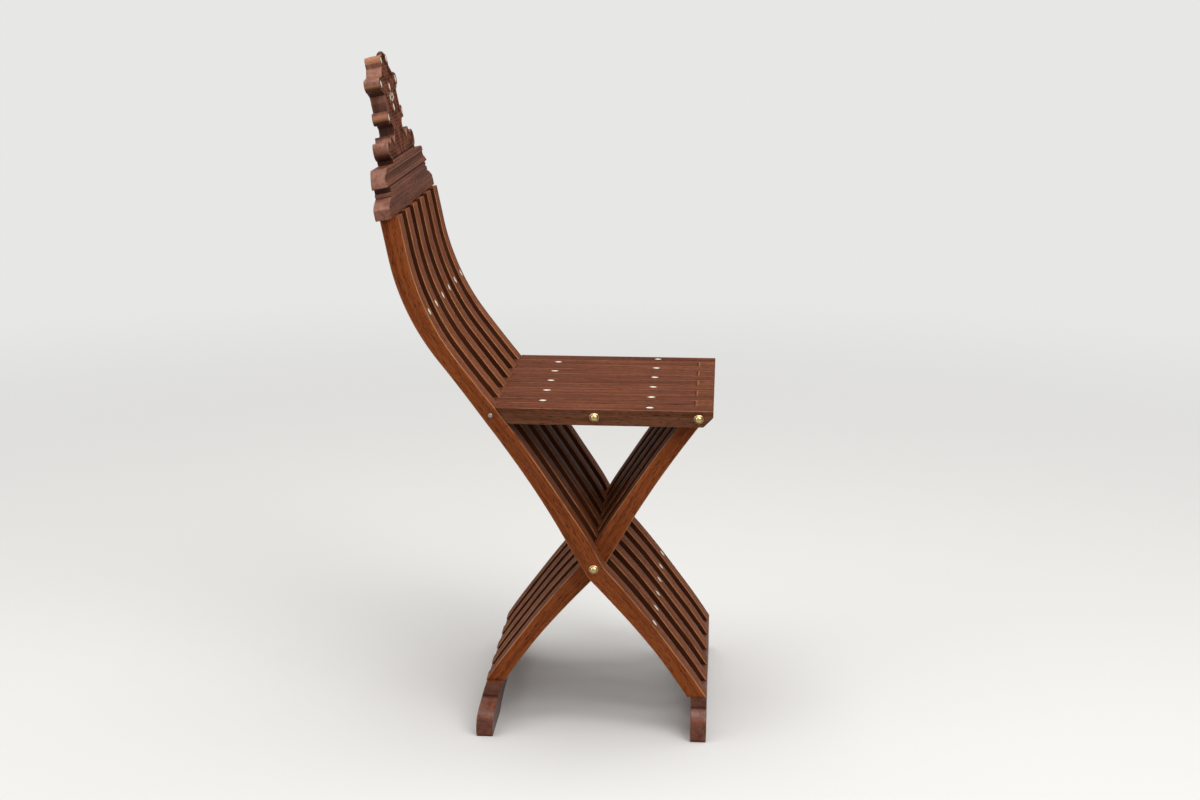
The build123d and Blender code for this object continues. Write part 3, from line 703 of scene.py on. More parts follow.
class SlatPath:
    """Middle line of a bent slat in the side view, by distance from the fold axle."""

    def __init__(self, toward):
        kept = settings("chair_slats")
        rise = REAR_ROD.z - AXLE.z
        run = AXLE.x - REAR_ROD.x
        middle = math.atan2(rise, run)
        self.start = middle + kept.arm_turn / 2
        arm_length = math.hypot(rise, run) / (2 * math.sin(kept.arm_turn / 2)) * kept.arm_turn
        back_turn = math.pi / 2 - kept.back_lean - (middle - kept.arm_turn / 2)
        crossing_turn = self.start - kept.shin_heading
        self.up = (
            (arm_length, -kept.arm_turn),
            (kept.back_straight, 0.0),
            (kept.back_radius * back_turn, back_turn),
            (kept.top_straight * SPARE_STRAIGHT, 0.0),
        )
        self.down = (
            (kept.crossing_radius * crossing_turn, -crossing_turn),
            (SHIN_RUN, SHIN_RUN / kept.shin_radius),
        )
        self.seat_distance = arm_length
        self.top_distance = arm_length + kept.back_straight + kept.back_radius * back_turn + kept.top_straight
        self.toward = toward

    def at(self, distance):
        """Place and heading at a distance; up the slat is positive."""
        upward = distance >= 0
        x, z, heading, left = 0.0, AXLE.z, self.start, abs(distance)
        for run, turn in self.up if upward else self.down:
            part = min(left, run)
            bend = turn * part / run
            chord = part if abs(bend) < 1e-9 else part * math.sin(bend / 2) / (bend / 2)
            x -= (1 if upward else -1) * chord * math.cos(heading + bend / 2)
            z += (1 if upward else -1) * chord * math.sin(heading + bend / 2)
            heading += bend
            left -= part
        return x, z, heading

    def point(self, distance, offset):
        """Point beside the middle line; positive offsets are on the upper front side."""
        x, z, heading = self.at(distance)
        px = x + offset * math.sin(heading)
        pz = z + offset * math.cos(heading)
        return Vector((AXLE.x + self.toward * px, 0.0, pz))


class StraightPath:
    """Middle line of a straight seat slat, by its place along X from the fold axle."""

    def point(self, distance, offset):
        """Point above or below the middle line."""
        return Vector((AXLE.x + distance, 0.0, SEAT_MIDDLE + offset))


def quarter_turns(steps):
    """Angles from nothing to a quarter turn."""
    return [math.pi / 2 * n / steps for n in range(steps + 1)]


def bar_section(half_depth, half_thickness, rounding, flat_steps):
    """One side of a rounded rectangle from top to bottom, as (offset, y, roundness)."""
    turns = quarter_turns(3)
    level, wide = half_depth - rounding, half_thickness - rounding
    top = [(level + rounding * math.cos(t), wide + rounding * math.sin(t), math.sin(2 * t)) for t in turns]
    flat = [(level * (1 - 2 * n / flat_steps), half_thickness, 0.0) for n in range(1, flat_steps)]
    low = [(-(level + rounding * math.sin(t)), wide + rounding * math.cos(t), math.sin(2 * t)) for t in turns]
    return top + flat + low


# How dark old polish has made the ends of the bars, and how much they are rubbed
END_GRIME = 0.35
END_WEAR = 0.1
# Length over which a shaped end fades into the bar, and how many roundings the next row keeps from the end
END_REACH = 0.045
END_CLEARANCE = 1.6
# Painted shade on the faces between the bars, and how much it varies
INNER_SHADE = 1.05
INNER_SHADE_CHANGE = 0.25
# How dark hands have made the outer faces round the seat's hinge, and how far that reaches
HANDLED = 0.25
HANDLED_REACH = 0.09
# How fast a bar's unevenness changes along it, across its depth and to the side, and its finer half
BAR_RATES = (9, 26, 30)
FINER = 2.7
# Share of the half depth that stays even, and how much of the unevenness the sides show
EVEN_SHARE = 0.6
SIDE_SHARE = 0.3
# How fast painted shade and wear change, compared with the unevenness, and the steady and the patchy part of the
# wear
SHADE_RATE = 1.3
WEAR_RATE = 3.1
STEADY_WEAR = 0.6
PATCHY_WEAR = 0.4
# Distance that is nothing
TINY = 1e-6


class Bar:
    """A bar swept along a path, with shaped and rounded ends.

    half_depth gives the half depth at a distance; ends gives, for the low and the high end, how far the end
    plane is shifted along the path at an offset from the middle line; open_sides says which of the left and
    right sides are varnished faces, the others carrying painted shade; nothing stands forward of foremost.
    """

    def __init__(
        self,
        path,
        stations,
        half_depth,
        rounding,
        ends,
        end_round,
        y,
        seed,
        open_sides,
        flat_steps=4,
        foremost=None,
    ):
        self.path = path
        self.low, self.high = stations[0], stations[-1]
        self.half_depth = half_depth
        self.rounding = rounding
        self.ends = ends
        self.y = y
        self.open_sides = open_sides
        self.flat_steps = flat_steps
        self.foremost = foremost
        self.shift = wandering(seed)
        self.wobble = settings("chair_slats").unevenness
        rim = [(end_round * (1 - math.sin(t)), end_round * (1 - math.cos(t))) for t in quarter_turns(3)]
        clear = END_CLEARANCE * end_round
        self.rows = [(self.low + run, inset) for run, inset in rim]
        self.rows += [(s, 0.0) for s in stations[1:-1] if s - self.low > clear and self.high - s > clear]
        self.rows += [(self.high - run, inset) for run, inset in rim]
        self.rows.sort()
        self.bm = bmesh.new()
        self.layers = {"grain": [], "face": [], "wear": [], "stain": []}

    def ring(self, distance, inset):
        """The ring of vertices at a distance, drawn in near a rounded end."""
        half = self.half_depth(min(max(distance, self.low), self.high))
        section = bar_section(half, SLAT_THICKNESS / 2, self.rounding, self.flat_steps)
        scale_in = max(0.0, 1 - inset / max(half, TINY))
        return [
            self.vert(distance, inset, half, offset, offset * scale_in, across, mirror, roundness)
            for mirror, ordered in ((1, section), (-1, section[::-1]))
            for offset, across, roundness in ordered
        ]

    def vert(self, distance, inset, half, offset, here, across, mirror, roundness):
        """One vertex, moved a little as hand work wanders, with its attributes."""
        half_thickness = SLAT_THICKNESS / 2
        aside = mirror * across * (1 - inset / half_thickness)
        low_share = max(0.0, 1 - (distance - self.low) / END_REACH)
        high_share = max(0.0, 1 - (self.high - distance) / END_REACH)
        along = distance + low_share * self.ends[0](here) + high_share * self.ends[1](here)
        spot = noise_spot((along, here, aside), BAR_RATES, self.shift)
        drift = noise.noise(spot) + 0.5 * noise.noise(spot * FINER)
        wander = drift * self.wobble if abs(offset) > half * EVEN_SHARE else 0.0
        place = self.path.point(along, here + wander)
        place.y = self.y + aside - mirror * abs(drift) * self.wobble * SIDE_SHARE
        if self.foremost is not None:
            place.x = min(place.x, self.foremost)
        flat = across > half_thickness - TINY and abs(offset) < half - self.rounding / 2 and inset == 0.0
        varnished = flat and self.open_sides[0 if mirror < 0 else 1]
        stain = END_GRIME if inset > 0 else 0.0
        if flat:
            stain = HANDLED * max(0.0, 1 - abs(distance - SEAT_HINGE_REACH) / HANDLED_REACH)
            # The faces between the bars get painted shade
            if not varnished:
                stain = INNER_SHADE + INNER_SHADE_CHANGE * noise.noise(spot * SHADE_RATE)
        wear = max(roundness, END_WEAR if inset > 0 else 0.0)
        self.layers["grain"].append((along + self.shift.x, here + self.shift.y, aside + self.shift.z))
        self.layers["face"].append(1.0 if varnished else 0.0)
        self.layers["wear"].append(wear * (STEADY_WEAR + PATCHY_WEAR * noise.noise(spot * WEAR_RATE)))
        self.layers["stain"].append(stain)
        return self.bm.verts.new(place)

    def build(self, name, material):
        """The finished object."""
        rings = [self.ring(*row) for row in self.rows]
        count = len(rings[0])
        for first, second in zip(rings, rings[1:]):
            for n in range(count):
                m = (n + 1) % count
                self.bm.faces.new((first[n], first[m], second[m], second[n]))
        for ring in (rings[0], rings[-1]):
            for n in range(count // 2 - 1):
                self.bm.faces.new((ring[n], ring[n + 1], ring[count - 2 - n], ring[count - 1 - n]))
        bmesh.ops.recalc_face_normals(self.bm, faces=self.bm.faces)
        made = object_from(name, self.bm, material)
        set_attributes(made.data, **self.layers)
        return made


def bars(nodes, name, wood_name, seed, *shape, **more):
    """Like bars side by side, one for each node, the outermost sides of the first and the last varnished."""
    for n, node in enumerate(nodes, start=1):
        bar = Bar(*shape, y=middle_y(node), seed=seed + n, open_sides=(n == 1, n == len(nodes)), **more)
        dressed(bar.build(f"{name}_{n}", finish(wood_name)), node)


# Depth of a bent slat at distances from the fold axle, down the leg and up the back
SLAT_DEPTHS = (
    (-0.300, 0.0208),
    (-0.250, 0.0223),
    (-0.200, 0.0220),
    (-0.150, 0.0205),
    (-0.100, 0.0225),
    (-0.050, 0.0248),
    (0.000, 0.0255),
    (0.038, 0.0274),
    (0.085, 0.0240),
    (0.140, 0.0224),
    (0.200, 0.0222),
    (0.251, 0.0220),
    (0.290, 0.0204),
    (0.330, 0.0202),
    (0.370, 0.0220),
    (0.420, 0.0246),
    (0.460, 0.0254),
    (0.500, 0.0254),
)
# Reach of the smoothing between those places
DEPTH_SMOOTHING = 0.008


def slat_half_depth(distance):
    """Half the depth of a bent slat, smoothed between the listed places."""
    places, depths = zip(*SLAT_DEPTHS)
    near = [distance + n * DEPTH_SMOOTHING for n in range(-2, 3)]
    return float(np.average(np.interp(near, places, depths), weights=(1, 2, 3, 2, 1))) / 2


def spaced(low, high, step):
    """Even stations between two distances."""
    count = max(2, round((high - low) / step))
    return [low + (high - low) * n / count for n in range(count + 1)]


def level_end(path, distance, height):
    """How far to shift an end along the path so that it is cut level at a height."""
    _, z, heading = path.at(distance)

    def shift(offset):
        return (height - z - offset * math.cos(heading)) / math.sin(heading)

    return shift


# How often a range is halved to find a place in it
HALVINGS = 40


def distance_at_height(path, height, low, high):
    """Distance along a path at which its middle line is at a height."""
    for _ in range(HALVINGS):
        middle = (low + high) / 2
        if path.at(middle)[1] < height:
            low = middle
        else:
            high = middle
    return (low + high) / 2


def square_end(offset):
    """An end cut square to the bar."""
    return 0.0


# Distances from the axle between which a bent slat's ends lie
FARTHEST_DOWN = -0.32
FARTHEST_UP = 0.4
SLAT_STEP = 0.006
SLAT_END_ROUND = 0.0008


def bent_bars(nodes, name, seed, path, low, high, ends, foremost=None):
    """Bent slats of one kind, between two distances from the axle."""
    stations = spaced(low, high, SLAT_STEP)
    rounding = settings("chair_slats").edge_round
    shape = (path, stations, slat_half_depth, rounding, ends, SLAT_END_ROUND)
    bars(nodes, name, "slat_wood", seed, *shape, foremost=foremost)


class CHAIR_OT_long_slats(bpy.types.Operator):
    """Dress the long slats that make the back and the front legs"""

    bl_idname = "chair.long_slats"
    bl_label = "Long slats"

    def execute(self, context):
        path = SlatPath(1)
        low = distance_at_height(path, FRONT_FOOT_TOP, FARTHEST_DOWN, 0.0)
        ends = (level_end(path, low, FRONT_FOOT_TOP), square_end)
        bent_bars(LONG_SLATS, "back_slat", 0, path, low, path.top_distance, ends)
        return {"FINISHED"}


class CHAIR_OT_short_slats(bpy.types.Operator):
    """Dress the short slats that make the rear legs"""

    bl_idname = "chair.short_slats"
    bl_label = "Short slats"

    def execute(self, context):
        path = SlatPath(-1)
        low = distance_at_height(path, REAR_FOOT_TOP, FARTHEST_DOWN, 0.0)
        high = distance_at_height(path, SEAT_TOP, 0.0, FARTHEST_UP)
        ends = (level_end(path, low, REAR_FOOT_TOP), level_end(path, high, SEAT_TOP))
        bent_bars(SHORT_SLATS, "leg_slat", 20, path, low, high, ends, foremost=SEAT_FRONT)
        return {"FINISHED"}


# ---------------------------------------------------------------- seat


def arm_slope():
    """Slope of a bent slat at the seat, as rise over run."""
    path = SlatPath(1)
    return math.tan(path.at(path.seat_distance)[2])


def sloped_end(offset):
    """An end cut parallel to the long slat that it meets."""
    return -offset / arm_slope()


def sloped_front_end(offset):
    """An end cut parallel to the short slat that it meets."""
    return offset / arm_slope()


def chamfered_nose(offset):
    """The front end of the seat: upright above, cut back below."""
    kept = settings("chair_slats")
    below = kept.nose_rise - SEAT_DEPTH / 2 - offset
    return -max(0.0, below) * kept.nose_run / kept.nose_rise


def rounded_tail(offset):
    """The rounded rear end of a rear seat slat."""
    kept = settings("chair_slats")
    radius = kept.tail_top_round if offset > 0 else kept.tail_low_round
    past = max(0.0, abs(offset) - (SEAT_DEPTH / 2 - radius))
    return radius - math.sqrt(max(0.0, radius**2 - past**2))


SEAT_STEP = 0.008
SEAT_END_ROUND = 0.0005


def seat_bars(nodes, name, seed, low, high, ends):
    """Seat slats of one kind, between two places along X."""
    stations = spaced(low - AXLE.x, high - AXLE.x, SEAT_STEP)
    rounding = settings("chair_slats").seat_edge_round
    shape = (StraightPath(), stations, lambda distance: SEAT_DEPTH / 2, rounding, ends, SEAT_END_ROUND)
    bars(nodes, name, "seat_wood", seed, *shape, flat_steps=8)


class CHAIR_OT_front_seat(bpy.types.Operator):
    """Dress the seat slats hinged at the front rod"""

    bl_idname = "chair.front_seat"
    bl_label = "Front seat slats"

    def execute(self, context):
        low, high = corners(FRONT_SEAT_SLATS[0])
        lean = SEAT_DEPTH / 2 / arm_slope()
        ends = (sloped_end, chamfered_nose)
        seat_bars(FRONT_SEAT_SLATS, "front_seat_slat", 40, low.x + lean, high.x, ends)
        return {"FINISHED"}


class CHAIR_OT_rear_seat(bpy.types.Operator):
    """Dress the seat slats hinged at the rear rod"""

    bl_idname = "chair.rear_seat"
    bl_label = "Rear seat slats"

    def execute(self, context):
        low, high = corners(REAR_SEAT_SLATS[0])
        lean = SEAT_DEPTH / 2 / arm_slope()
        ends = (rounded_tail, sloped_front_end)
        seat_bars(REAR_SEAT_SLATS, "rear_seat_slat", 60, low.x, high.x - lean, ends)
        return {"FINISHED"}


# ---------------------------------------------------------------- shaped boards

# Height of the small step at a ledge
LEDGE_STEP = 0.0004
# How much of the boards' edges is rubbed bare
BOARD_WEAR = 0.62
# How fast a board's unevenness changes across the chair, upwards and through the board
BOARD_RATES = (9, 24, 24)
# Where the columns of vertices stand in a board's ends, as shares of its thickness
CAP_COLUMNS = (0.12, 0.35, 0.65, 0.88)
# Angle above which an edge of a board is drawn sharp
BOARD_SHARP = 32


def eased(height, low, high, half, rounding):
    """Half thickness of a board at a height, its top and bottom edges rounded."""
    near = min(height - low, high - height)
    if near >= rounding:
        return half
    return half - rounding + math.sqrt(max(0.0, rounding**2 - (rounding - near) ** 2))


def levels_between(low, high, rounding, step, ledges=()):
    """Heights from low to high: close together in the rounded edges, and two at each ledge."""
    rises = [rounding * (1 - math.cos(turn)) for turn in quarter_turns(4)[:-1]]
    heights = [low + rise for rise in rises]
    heights += spaced(low + rounding, high - rounding, step)
    heights += [high - rise for rise in rises]
    for ledge in ledges:
        heights = [h for h in heights if abs(h - ledge) > LEDGE_STEP]
        heights += [ledge - LEDGE_STEP / 2, ledge + LEDGE_STEP / 2]
    return sorted(heights)


class ShapedBoard:
    """A board across the chair whose thickness and length change with its height.

    faces gives the depths of the front and back at a height, half_width half the length there, and place
    turns (depth, across, height) into a place in the row frame. spots keeps those three for every vertex.
    """

    def __init__(self, heights, faces, half_width, place, seed):
        self.levels = [(h, *faces(h), half_width(h)) for h in heights]
        self.place = place
        self.shift = wandering(seed)
        self.bm = bmesh.new()
        self.grain = []
        self.spots = []
        self.wobble = settings("chair_slats").unevenness

    def vert(self, depth, across, height):
        """One vertex, moved a little as hand work wanders."""
        wander = noise.noise(noise_spot((across, height, depth), BOARD_RATES, self.shift)) * self.wobble
        self.grain.append((across + self.shift.x, height + self.shift.y, depth + self.shift.z))
        self.spots.append((depth, across, height))
        return self.bm.verts.new(self.place(depth + wander, across, height))

    def ring(self, share_along, pull, inset):
        """A ring round the board; pull shortens it at its ends and inset thins it."""
        front, back = [], []
        for height, near, far, half in self.levels:
            across = share_along * (half - pull)
            thin = min(inset, (near - far) / 2)
            front.append(self.vert(near - thin, across, height))
            back.append(self.vert(far + thin, across, height))
        return front, back

    def strip(self, first, second):
        """Faces between two lines of vertices."""
        for n in range(len(first) - 1):
            self.bm.faces.new((first[n], first[n + 1], second[n + 1], second[n]))

    def skin(self, first, second):
        """Faces between two rings."""
        for one, other in zip(first, second):
            self.strip(one, other)
        for n in (0, -1):
            self.bm.faces.new((first[0][n], first[1][n], second[1][n], second[0][n]))

    def cap(self, ring, side):
        """The end face inside a ring, with columns of vertices across its thickness."""
        front, back = ring
        columns = [front[1:-1]]
        for share_in in CAP_COLUMNS:
            column = []
            for height, near, far, half in self.levels[1:-1]:
                column.append(self.vert(near + (far - near) * share_in, side * half, height))
            columns.append(column)
        columns.append(back[1:-1])
        for left, right in zip(columns, columns[1:]):
            self.strip(left, right)
        for n in (0, -1):
            self.bm.faces.new([front[n]] + [column[n] for column in columns] + [back[n]])

    def build(self, name, material, end_round, step=0.006):
        """The finished object."""
        longest = max(level[3] for level in self.levels)
        count = round(2 * longest / step)
        rim = [(end_round * (1 - math.cos(t)), end_round * (1 - math.sin(t))) for t in quarter_turns(3)]
        rows = [(-1.0, pull, inset) for pull, inset in rim]
        rows += [(-1 + 2 * n / count, end_round, 0.0) for n in range(1, count)]
        rows += [(1.0, pull, inset) for pull, inset in reversed(rim)]
        rings = [self.ring(*row) for row in rows]
        for first, second in zip(rings, rings[1:]):
            self.skin(first, second)
        self.cap(rings[0], -1)
        self.cap(rings[-1], 1)
        bmesh.ops.recalc_face_normals(self.bm, faces=self.bm.faces)
        made = object_from(name, self.bm, material, BOARD_SHARP)
        set_attributes(made.data, grain=self.grain, wear=worn_edges(made.data) * BOARD_WEAR)
        return made


# How strongly a bend between neighbouring faces counts as worn
BEND_WEAR = 3.2


def worn_edges(mesh, reach=0.0016, passes=2):
    """Wear of every vertex: towards 1 on edges that stand out and towards -1 in hollows."""
    places, normals = mesh_arrays(mesh)
    count = len(places)
    pairs = np.empty(len(mesh.edges) * 2, dtype=np.int64)
    mesh.edges.foreach_get("vertices", pairs)
    a, b = pairs.reshape(-1, 2).T
    away = places[b] - places[a]
    far = np.maximum(np.linalg.norm(away, axis=1), 1e-9)
    near = np.minimum(1.0, reach / far)
    bend, weight = np.zeros((2, count))
    for one, sign in ((a, 1.0), (b, -1.0)):
        fall = -sign * np.einsum("ij,ij->i", away, normals[one]) / far
        np.add.at(bend, one, fall * near)
        np.add.at(weight, one, near)
    wear = bend / np.maximum(weight, 1e-9) * BEND_WEAR
    for _ in range(passes):
        total, shares = wear.copy(), np.ones(count)
        for one, other in ((a, b), (b, a)):
            np.add.at(total, one, wear[other])
            np.add.at(shares, one, 1.0)
        wear = 0.5 * wear + 0.5 * total / shares
    return np.clip(wear, -1.0, 1.0)


# ---------------------------------------------------------------- foot boards

# How hollow the cove below a foot board's ledge is
COVE_HOLLOW = 1.8
# Distance between a foot board's rows of vertices, and the rounding of its ends
FOOT_STEP = 0.0025
FOOT_END_ROUND = 0.0014
# Reach of the painted shade along the ledge and of the darkening at the sole, and how dark the end blocks
# and the sole are
LEDGE_REACH = 0.0016
SOLE_REACH = 0.004
BLOCK_STAIN = 0.32
SOLE_DARKENING = 0.5


def foot_half_width(block, shoulder):
    """Half length of a foot board at a height: toe, round shoulder, cove, ledge and end block."""
    kept = settings("chair_feet")
    half = corners("front_foot_board")[1].y

    def width(height):
        if height < kept.toe_round:
            drop = kept.toe_round - height
            return half - kept.toe_round + math.sqrt(max(0.0, kept.toe_round**2 - drop**2))
        if height <= kept.shoulder_low:
            return half
        if height <= kept.shoulder_top:
            share_up = (height - kept.shoulder_low) / (kept.shoulder_top - kept.shoulder_low)
            bulge = kept.bulge * (half - shoulder) * share_up * (1 - share_up)
            return min(half, half + (shoulder - half) * share_up + bulge)
        if height <= kept.ledge_height:
            share_up = (height - kept.shoulder_top) / (kept.ledge_height - kept.shoulder_top)
            ledge = block + kept.ledge_depth
            return shoulder + (ledge - shoulder) * (1 - (1 - share_up) ** COVE_HOLLOW)
        return block

    return width


def arch_lift(across):
    """Height of the arch under a foot board at a place across the chair."""
    kept = settings("chair_feet")
    return kept.arch_height * max(0.0, 1 - (across / kept.arch_half_width) ** 2)


def foot_darkening(height):
    """How dark a foot board is at a height: painted shade at its ledge, darker above it and at the sole."""
    ledge_height = settings("chair_feet").ledge_height
    # Painted shade along the step of the ledge
    ledge = max(0.0, 1 - abs(height - ledge_height) / LEDGE_REACH)
    block = BLOCK_STAIN if height > ledge_height else 0.0
    sole = SOLE_DARKENING * max(0.0, 1 - height / SOLE_REACH)
    return max(ledge, block, sole)


def foot_board(node, block, shoulder, centre, half_thickness, seed):
    """A foot board, its middle line given by centre at each height."""
    kept = settings("chair_feet")
    top = corners(node)[1].z
    heights = levels_between(0.0, top, kept.edge_round, FOOT_STEP, (kept.ledge_height,))

    def faces(height):
        half = eased(height, 0.0, top, half_thickness, kept.edge_round)
        return half, -half

    def place(depth, across, height):
        lift = arch_lift(across)
        level = lift + height * (top - lift) / top
        return Vector((centre(level) + depth, across, level))

    board = ShapedBoard(heights, faces, foot_half_width(block, shoulder), place, seed)
    made = board.build(node.replace("_board", "_timber"), finish("foot_wood"), FOOT_END_ROUND)
    set_attributes(made.data, stain=[foot_darkening(height) for _, _, height in board.spots])
    dressed(made, node)


class CHAIR_OT_feet(bpy.types.Operator):
    """Dress the two foot boards"""

    bl_idname = "chair.feet"
    bl_label = "Foot boards"

    def execute(self, context):
        kept = settings("chair_feet")
        self.front(kept)
        self.rear(kept)
        return {"FINISHED"}

    def front(self, kept):
        """The front board, upright."""
        low, high = corners("front_foot_board")
        middle = (low.x + high.x) / 2
        half = (high.x - low.x) / 2
        foot_board("front_foot_board", kept.front_block, kept.front_shoulder, lambda height: middle, half, 81)

    def rear(self, kept):
        """The rear board, bowed so that it carries on the legs' bend."""
        top = corners("rear_foot_board")[1].z
        half = kept.rear_thickness / 2
        foot = corners("rear_foot_board")[1].x - half
        low_centre = foot - kept.rear_rake

        def centre(height):
            share_up = height / top
            return low_centre + kept.rear_rake * share_up - 4 * kept.rear_bow * share_up * (1 - share_up)

        foot_board("rear_foot_board", kept.rear_block, kept.rear_shoulder, centre, half, 82)


# ---------------------------------------------------------------- crest


def crest_matrix():
    """From the crest's own directions (depth, across, up the lean) to the row frame."""
    path = SlatPath(1)
    heading = path.at(path.top_distance)[2]
    forward = Vector((math.sin(heading), 0.0, math.cos(heading)))
    upward = Vector((-math.cos(heading), 0.0, math.sin(heading)))
    across = Vector((0.0, 1.0, 0.0))
    origin = path.point(path.top_distance, settings("chair_carving").front_offset)
    return Matrix.Translation(origin) @ Matrix((forward, across, upward)).transposed().to_4x4()


def moulded_depth(height, mouldings):
    """How deep the grooves of a rail are at a height, each given by its middle, half width and depth."""
    deepest = 0.0
    for middle, half, depth in mouldings:
        past = 1 - ((height - middle) / half) ** 2
        if past > 0:
            deepest = max(deepest, depth * math.sqrt(past))
    return deepest


# Grooves of the rails: middle above the rail's lower edge, half width and depth
LOWER_RAIL_GROOVES = (
    (0.0125, 0.0007, 0.0005),
    (0.0190, 0.0008, 0.0007),
    (0.0255, 0.0007, 0.0005),
    (0.0330, 0.0012, 0.0009),
)
UPPER_RAIL_COVE = (0.0112, 0.0060, 0.0026)
UPPER_RAIL_GROOVES = ((0.0042, 0.0008, 0.0012), UPPER_RAIL_COVE, (0.0188, 0.0007, 0.0008))
# Length of the painted shade in the recess at the lower rail's ends, reach of the dark at the rails' joint
# as a share of the edges' rounding, painted shade in the upper rail's cove, and how close to the ends it stops
RECESS_REACH = 0.004
JOINT_SHARE = 0.7
COVE_SHADE = 0.45
COVE_END = 0.001
# How close to a rail's end its polished end face is
END_FACE_REACH = 0.0004
# Height between the rails' rows of vertices, the rounding of their ends, and the upper rail's hollow taper
RAIL_STEP = 0.0006
RAIL_END_ROUND = 0.0010
TAPER_HOLLOW = 0.72


def rail_stain_and_shade(depth, across, height, half):
    """How dark a rail is at a place: its dark joint, and painted shade in the end recesses and the cove."""
    kept = settings("chair_carving")
    recess_low = kept.neck_height + kept.fillet_height
    # Painted shade in the recess at the lower rail's ends
    if recess_low < height < kept.rail_height and abs(across) > half - RECESS_REACH:
        return 1.0
    if abs(height - kept.rail_height) < kept.edge_round * JOINT_SHARE:
        return 1.0
    # Painted shade in the upper rail's cove
    middle, reach, _ = UPPER_RAIL_COVE
    past = abs(height - kept.rail_height - middle) / reach
    on_front = depth > -kept.thickness / 2 and abs(across) < half - COVE_END
    return COVE_SHADE * max(0.0, 1 - past**4) if on_front else 0.0


def crest_rail(node, low, high, half_width, mouldings, ledges, seed):
    """A moulded rail of the crest between two heights up the lean."""
    kept = settings("chair_carving")
    matrix = crest_matrix()
    middle = -kept.thickness / 2

    def faces(height):
        half = eased(height, low, high, kept.thickness / 2, kept.edge_round)
        return middle + half - moulded_depth(height, mouldings), middle - half

    def place(depth, across, height):
        return matrix @ Vector((depth, across, height))

    heights = levels_between(low, high, kept.edge_round, RAIL_STEP, ledges)
    board = ShapedBoard(heights, faces, half_width, place, seed)
    made = board.build(node.replace("crest_", "carved_"), finish("carved_wood"), RAIL_END_ROUND)
    stain = [rail_stain_and_shade(*spot, half_width(spot[2])) for spot in board.spots]
    ends = [float(abs(across) > half_width(height) - END_FACE_REACH) for _, across, height in board.spots]
    set_attributes(made.data, stain=stain, face=ends)
    dressed(made, node)


def lower_rail_half_width(height):
    """Half length of the lower rail: square end, hollow sweep, fillet and neck."""
    kept = settings("chair_carving")
    half = corners("crest_lower_rail")[1].y
    neck = half - kept.neck_inset
    if height <= kept.end_height:
        return half
    if height <= kept.neck_height:
        share_up = (height - kept.end_height) / (kept.neck_height - kept.end_height)
        bulge = kept.neck_inset * kept.sweep_bulge * share_up * (1 - share_up)
        return half + (neck - half) * share_up + bulge
    if height <= kept.neck_height + kept.fillet_height:
        return neck + kept.fillet_reach
    return neck


def upper_rail_half_width(height):
    """Half length of the upper rail, its ends slightly hollow and drawn in upwards."""
    kept = settings("chair_carving")
    half = corners("crest_upper_rail")[1].y
    share_up = min(1.0, max(0.0, (height - kept.rail_height) / kept.upper_rail_height))
    return half - kept.upper_taper * ((1 - TAPER_HOLLOW) * share_up + TAPER_HOLLOW * share_up**2)


class CHAIR_OT_rails(bpy.types.Operator):
    """Dress the two moulded rails of the crest"""

    bl_idname = "chair.rails"
    bl_label = "Crest rails"

    def execute(self, context):
        kept = settings("chair_carving")
        top = kept.rail_height
        ledges = (kept.neck_height, kept.neck_height + kept.fillet_height)
        crest_rail("crest_lower_rail", 0.0, top, lower_rail_half_width, LOWER_RAIL_GROOVES, ledges, 91)
        low = top + kept.joint_gap
        high = low + kept.upper_rail_height
        grooves = tuple((low + up, half, depth) for up, half, depth in UPPER_RAIL_GROOVES)
        crest_rail("crest_upper_rail", low, high, upper_rail_half_width, grooves, (), 92)
        return {"FINISHED"}


# Leaves of the crown's relief on one side, each from its root to its tip with its half width, across and up
# from the crown's foot
CROWN_LEAVES = (
    ((0.014, 0.006), (0.099, 0.016), 0.0115),
    ((0.030, 0.019), (0.069, 0.032), 0.0070),
    ((0.008, 0.038), (0.049, 0.055), 0.0085),
    ((0.010, 0.084), (0.051, 0.100), 0.0095),
    ((0.006, 0.108), (0.023, 0.126), 0.0065),
    ((0.030, 0.060), (0.040, 0.088), 0.0060),
    ((0.000, 0.004), (0.000, 0.056), 0.0110),
    ((0.000, 0.104), (0.000, 0.138), 0.0085),
)
# Hollows between the crown's lobes darkened with painted shade: lowest and highest place, and how dark
CROWN_HOLLOWS = ((0.0310, 0.0500, 0.95), (0.0640, 0.0800, 0.6))
# Heights of the lobes' outer curves, which get a painted highlight, how far that reaches and how bright
CROWN_LOBES = (0.0580, 0.0990, 0.1350)
LOBE_REACH = 0.0055
LOBE_PAINTED_HIGHLIGHT = 0.95
# Inlays of the crown, with the radius that the carving keeps flat round each
CROWN_INLAYS = (("crest_inlays", 0.0068), ("crest_flower_inlay", 0.0052))
# How squarely a place must face forwards and how far back it may lie to be carved, and the deepest carving
FRONT_FACING = 0.55
FRONT_REACH = 0.0060
CARVING_FLOOR = 0.0065
# The plain rim along the outline, the line cut inside it, and the soft edge of every flat place
RIM = 0.0026
RIM_LINE = 0.0040
LINE_WIDTH = 0.0009
SOFT_EDGE = 0.0012
# The ring cut round each inlay, beyond its flat place
RING_GAP = 0.0010
RING_WIDTH = 0.0008
# A gouge cut's size as a share of its pitch, its curve, its reach and how far it goes below the ground
CUT_SHARE = 0.36
CUT_CURVE = 0.35
CUT_REACH = 1.25
CUT_DEPTH = 0.75
# Depth of the leaves' tops as a share of the ground's, and of the rings as a share of the lines'
LEAF_DEPTH = 0.25
RING_DEPTH = 0.8
# Painted shade darkens the ends of the crown's foot below this height and beyond this place across
FOOT_HEIGHT = 0.0062
FOOT_START = 0.084
